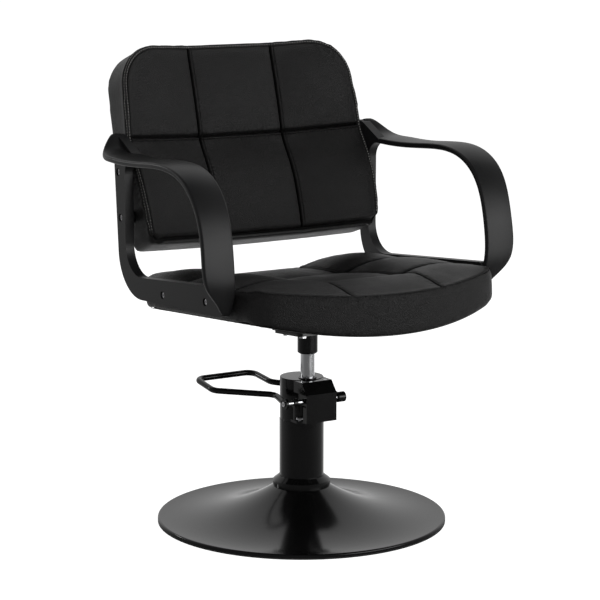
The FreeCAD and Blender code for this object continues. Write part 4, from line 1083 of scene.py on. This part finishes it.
def makeWorld(glow):
    world = bpy.data.worlds.new("studio")
    scene.world = world
    world.use_nodes = True
    world.cycles.sampling_method = "NONE"
    tree = world.node_tree
    link = tree.links.new
    light = tree.nodes["Background"]
    light.inputs["Color"].default_value = (1, 1, 1, 1)
    light.inputs["Strength"].default_value = studio["ambient"]
    bright = tree.nodes.new("ShaderNodeBackground")
    bright.inputs["Color"].default_value = (1, 1, 1, 1)
    bright.inputs["Strength"].default_value = studio["white"]
    place = tree.nodes.new("ShaderNodeTexCoord")
    backdrop = tree.nodes.new("ShaderNodeGroup")
    backdrop.node_tree = glow
    link(place.outputs["Generated"], backdrop.inputs["Direction"])
    mirrored = tree.nodes.new("ShaderNodeBackground")
    link(backdrop.outputs["Strength"], mirrored.inputs["Strength"])
    mixByRay(tree, bright.outputs[0], light.outputs[0], mirrored.outputs[0],
             tree.nodes["World Output"].inputs["Surface"])


def makeFloor(glow):
    mesh = bpy.data.meshes.new("studioFloor")
    half = 30.0
    corners = [(-half, -half, 0), (half, -half, 0), (half, half, 0), (-half, half, 0)]
    mesh.from_pydata(corners, [], [(0, 1, 2, 3)])
    floor = newObject("studioFloor", mesh)
    material = bpy.data.materials.new("paleFloor")
    material.use_nodes = True
    material.cycles.emission_sampling = "NONE"
    tree = material.node_tree
    link = tree.links.new
    tree.nodes.remove(tree.nodes["Principled BSDF"])
    matt = tree.nodes.new("ShaderNodeBsdfDiffuse")
    matt.inputs["Color"].default_value = (*[studio["floorWhite"]] * 3, 1)
    shaded = tree.nodes.new("ShaderNodeBsdfDiffuse")
    shaded.inputs["Color"].default_value = (*[studio["floorShade"]] * 3, 1)
    shine = tree.nodes.new("ShaderNodeEmission")
    shine.inputs["Strength"].default_value = studio["floorGlow"]
    both = tree.nodes.new("ShaderNodeAddShader")
    link(shaded.outputs[0], both.inputs[0])
    link(shine.outputs[0], both.inputs[1])
    # In reflections the floor is as bright each way as the backdrop there
    place = tree.nodes.new("ShaderNodeTexCoord")
    way = tree.nodes.new("ShaderNodeVectorMath")
    way.operation = "NORMALIZE"
    link(place.outputs["Object"], way.inputs[0])
    backdrop = tree.nodes.new("ShaderNodeGroup")
    backdrop.node_tree = glow
    link(way.outputs[0], backdrop.inputs["Direction"])
    away = tree.nodes.new("ShaderNodeVectorMath")
    away.operation = "LENGTH"
    link(place.outputs["Object"], away.inputs[0])
    lit = rangeNode(tree, away.outputs["Value"], *studio["floorPanel"])
    lit = mathNode(tree, "MULTIPLY", lit, backdrop.outputs["Panel"])
    mirrored = tree.nodes.new("ShaderNodeEmission")
    link(mathNode(tree, "MAXIMUM", lit, backdrop.outputs["Strength"]), mirrored.inputs["Strength"])
    mixByRay(tree, both.outputs[0], matt.outputs[0], mirrored.outputs[0],
             tree.nodes["Material Output"].inputs["Surface"])
    mesh.materials.append(material)


def makeLamp(name, spot, aim, size, power, glossy):
    data = bpy.data.lights.new(name, "AREA")
    data.shape = "RECTANGLE"
    data.size, data.size_y = size
    data.energy = power
    lamp = newObject(name, data)
    lamp.location = spot
    lamp.visible_glossy = glossy
    lamp.rotation_euler = (Vector(aim) - Vector(spot)).to_track_quat("-Z", "Y").to_euler()


def makeCamera():
    data = bpy.data.cameras.new("photoCamera")
    data.sensor_width = 36.0
    data.lens = studio["lens"]
    camera = newObject("photoCamera", data)
    camera.location = studio["cameraSpot"]
    camera.rotation_euler = [math.radians(turn) for turn in studio["cameraTurn"]]
    scene.camera = camera


backdropGlow = makeBackdropGroup()
makeWorld(backdropGlow)
makeFloor(backdropGlow)
middle = (0, 0, 0.5)
makeLamp("keyLamp", (-1.2, -3.6, 2.4), middle, (1.8, 1.4), studio["keyPower"], False)
makeLamp("fillLamp", (3.0, -1.6, 2.0), middle, (1.2, 2.2), studio["fillPower"], False)
makeLamp("rimLamp", (0.6, 2.8, 2.8), middle, (2.4, 1.0), studio["rimPower"], False)
makeLamp("glintLamp", (-2.0, 2.7, 1.2), middle, (0.4, 0.4), studio["glintPower"], True)
makeCamera()
scene.view_settings.view_transform = "Standard"
print("studio ready")
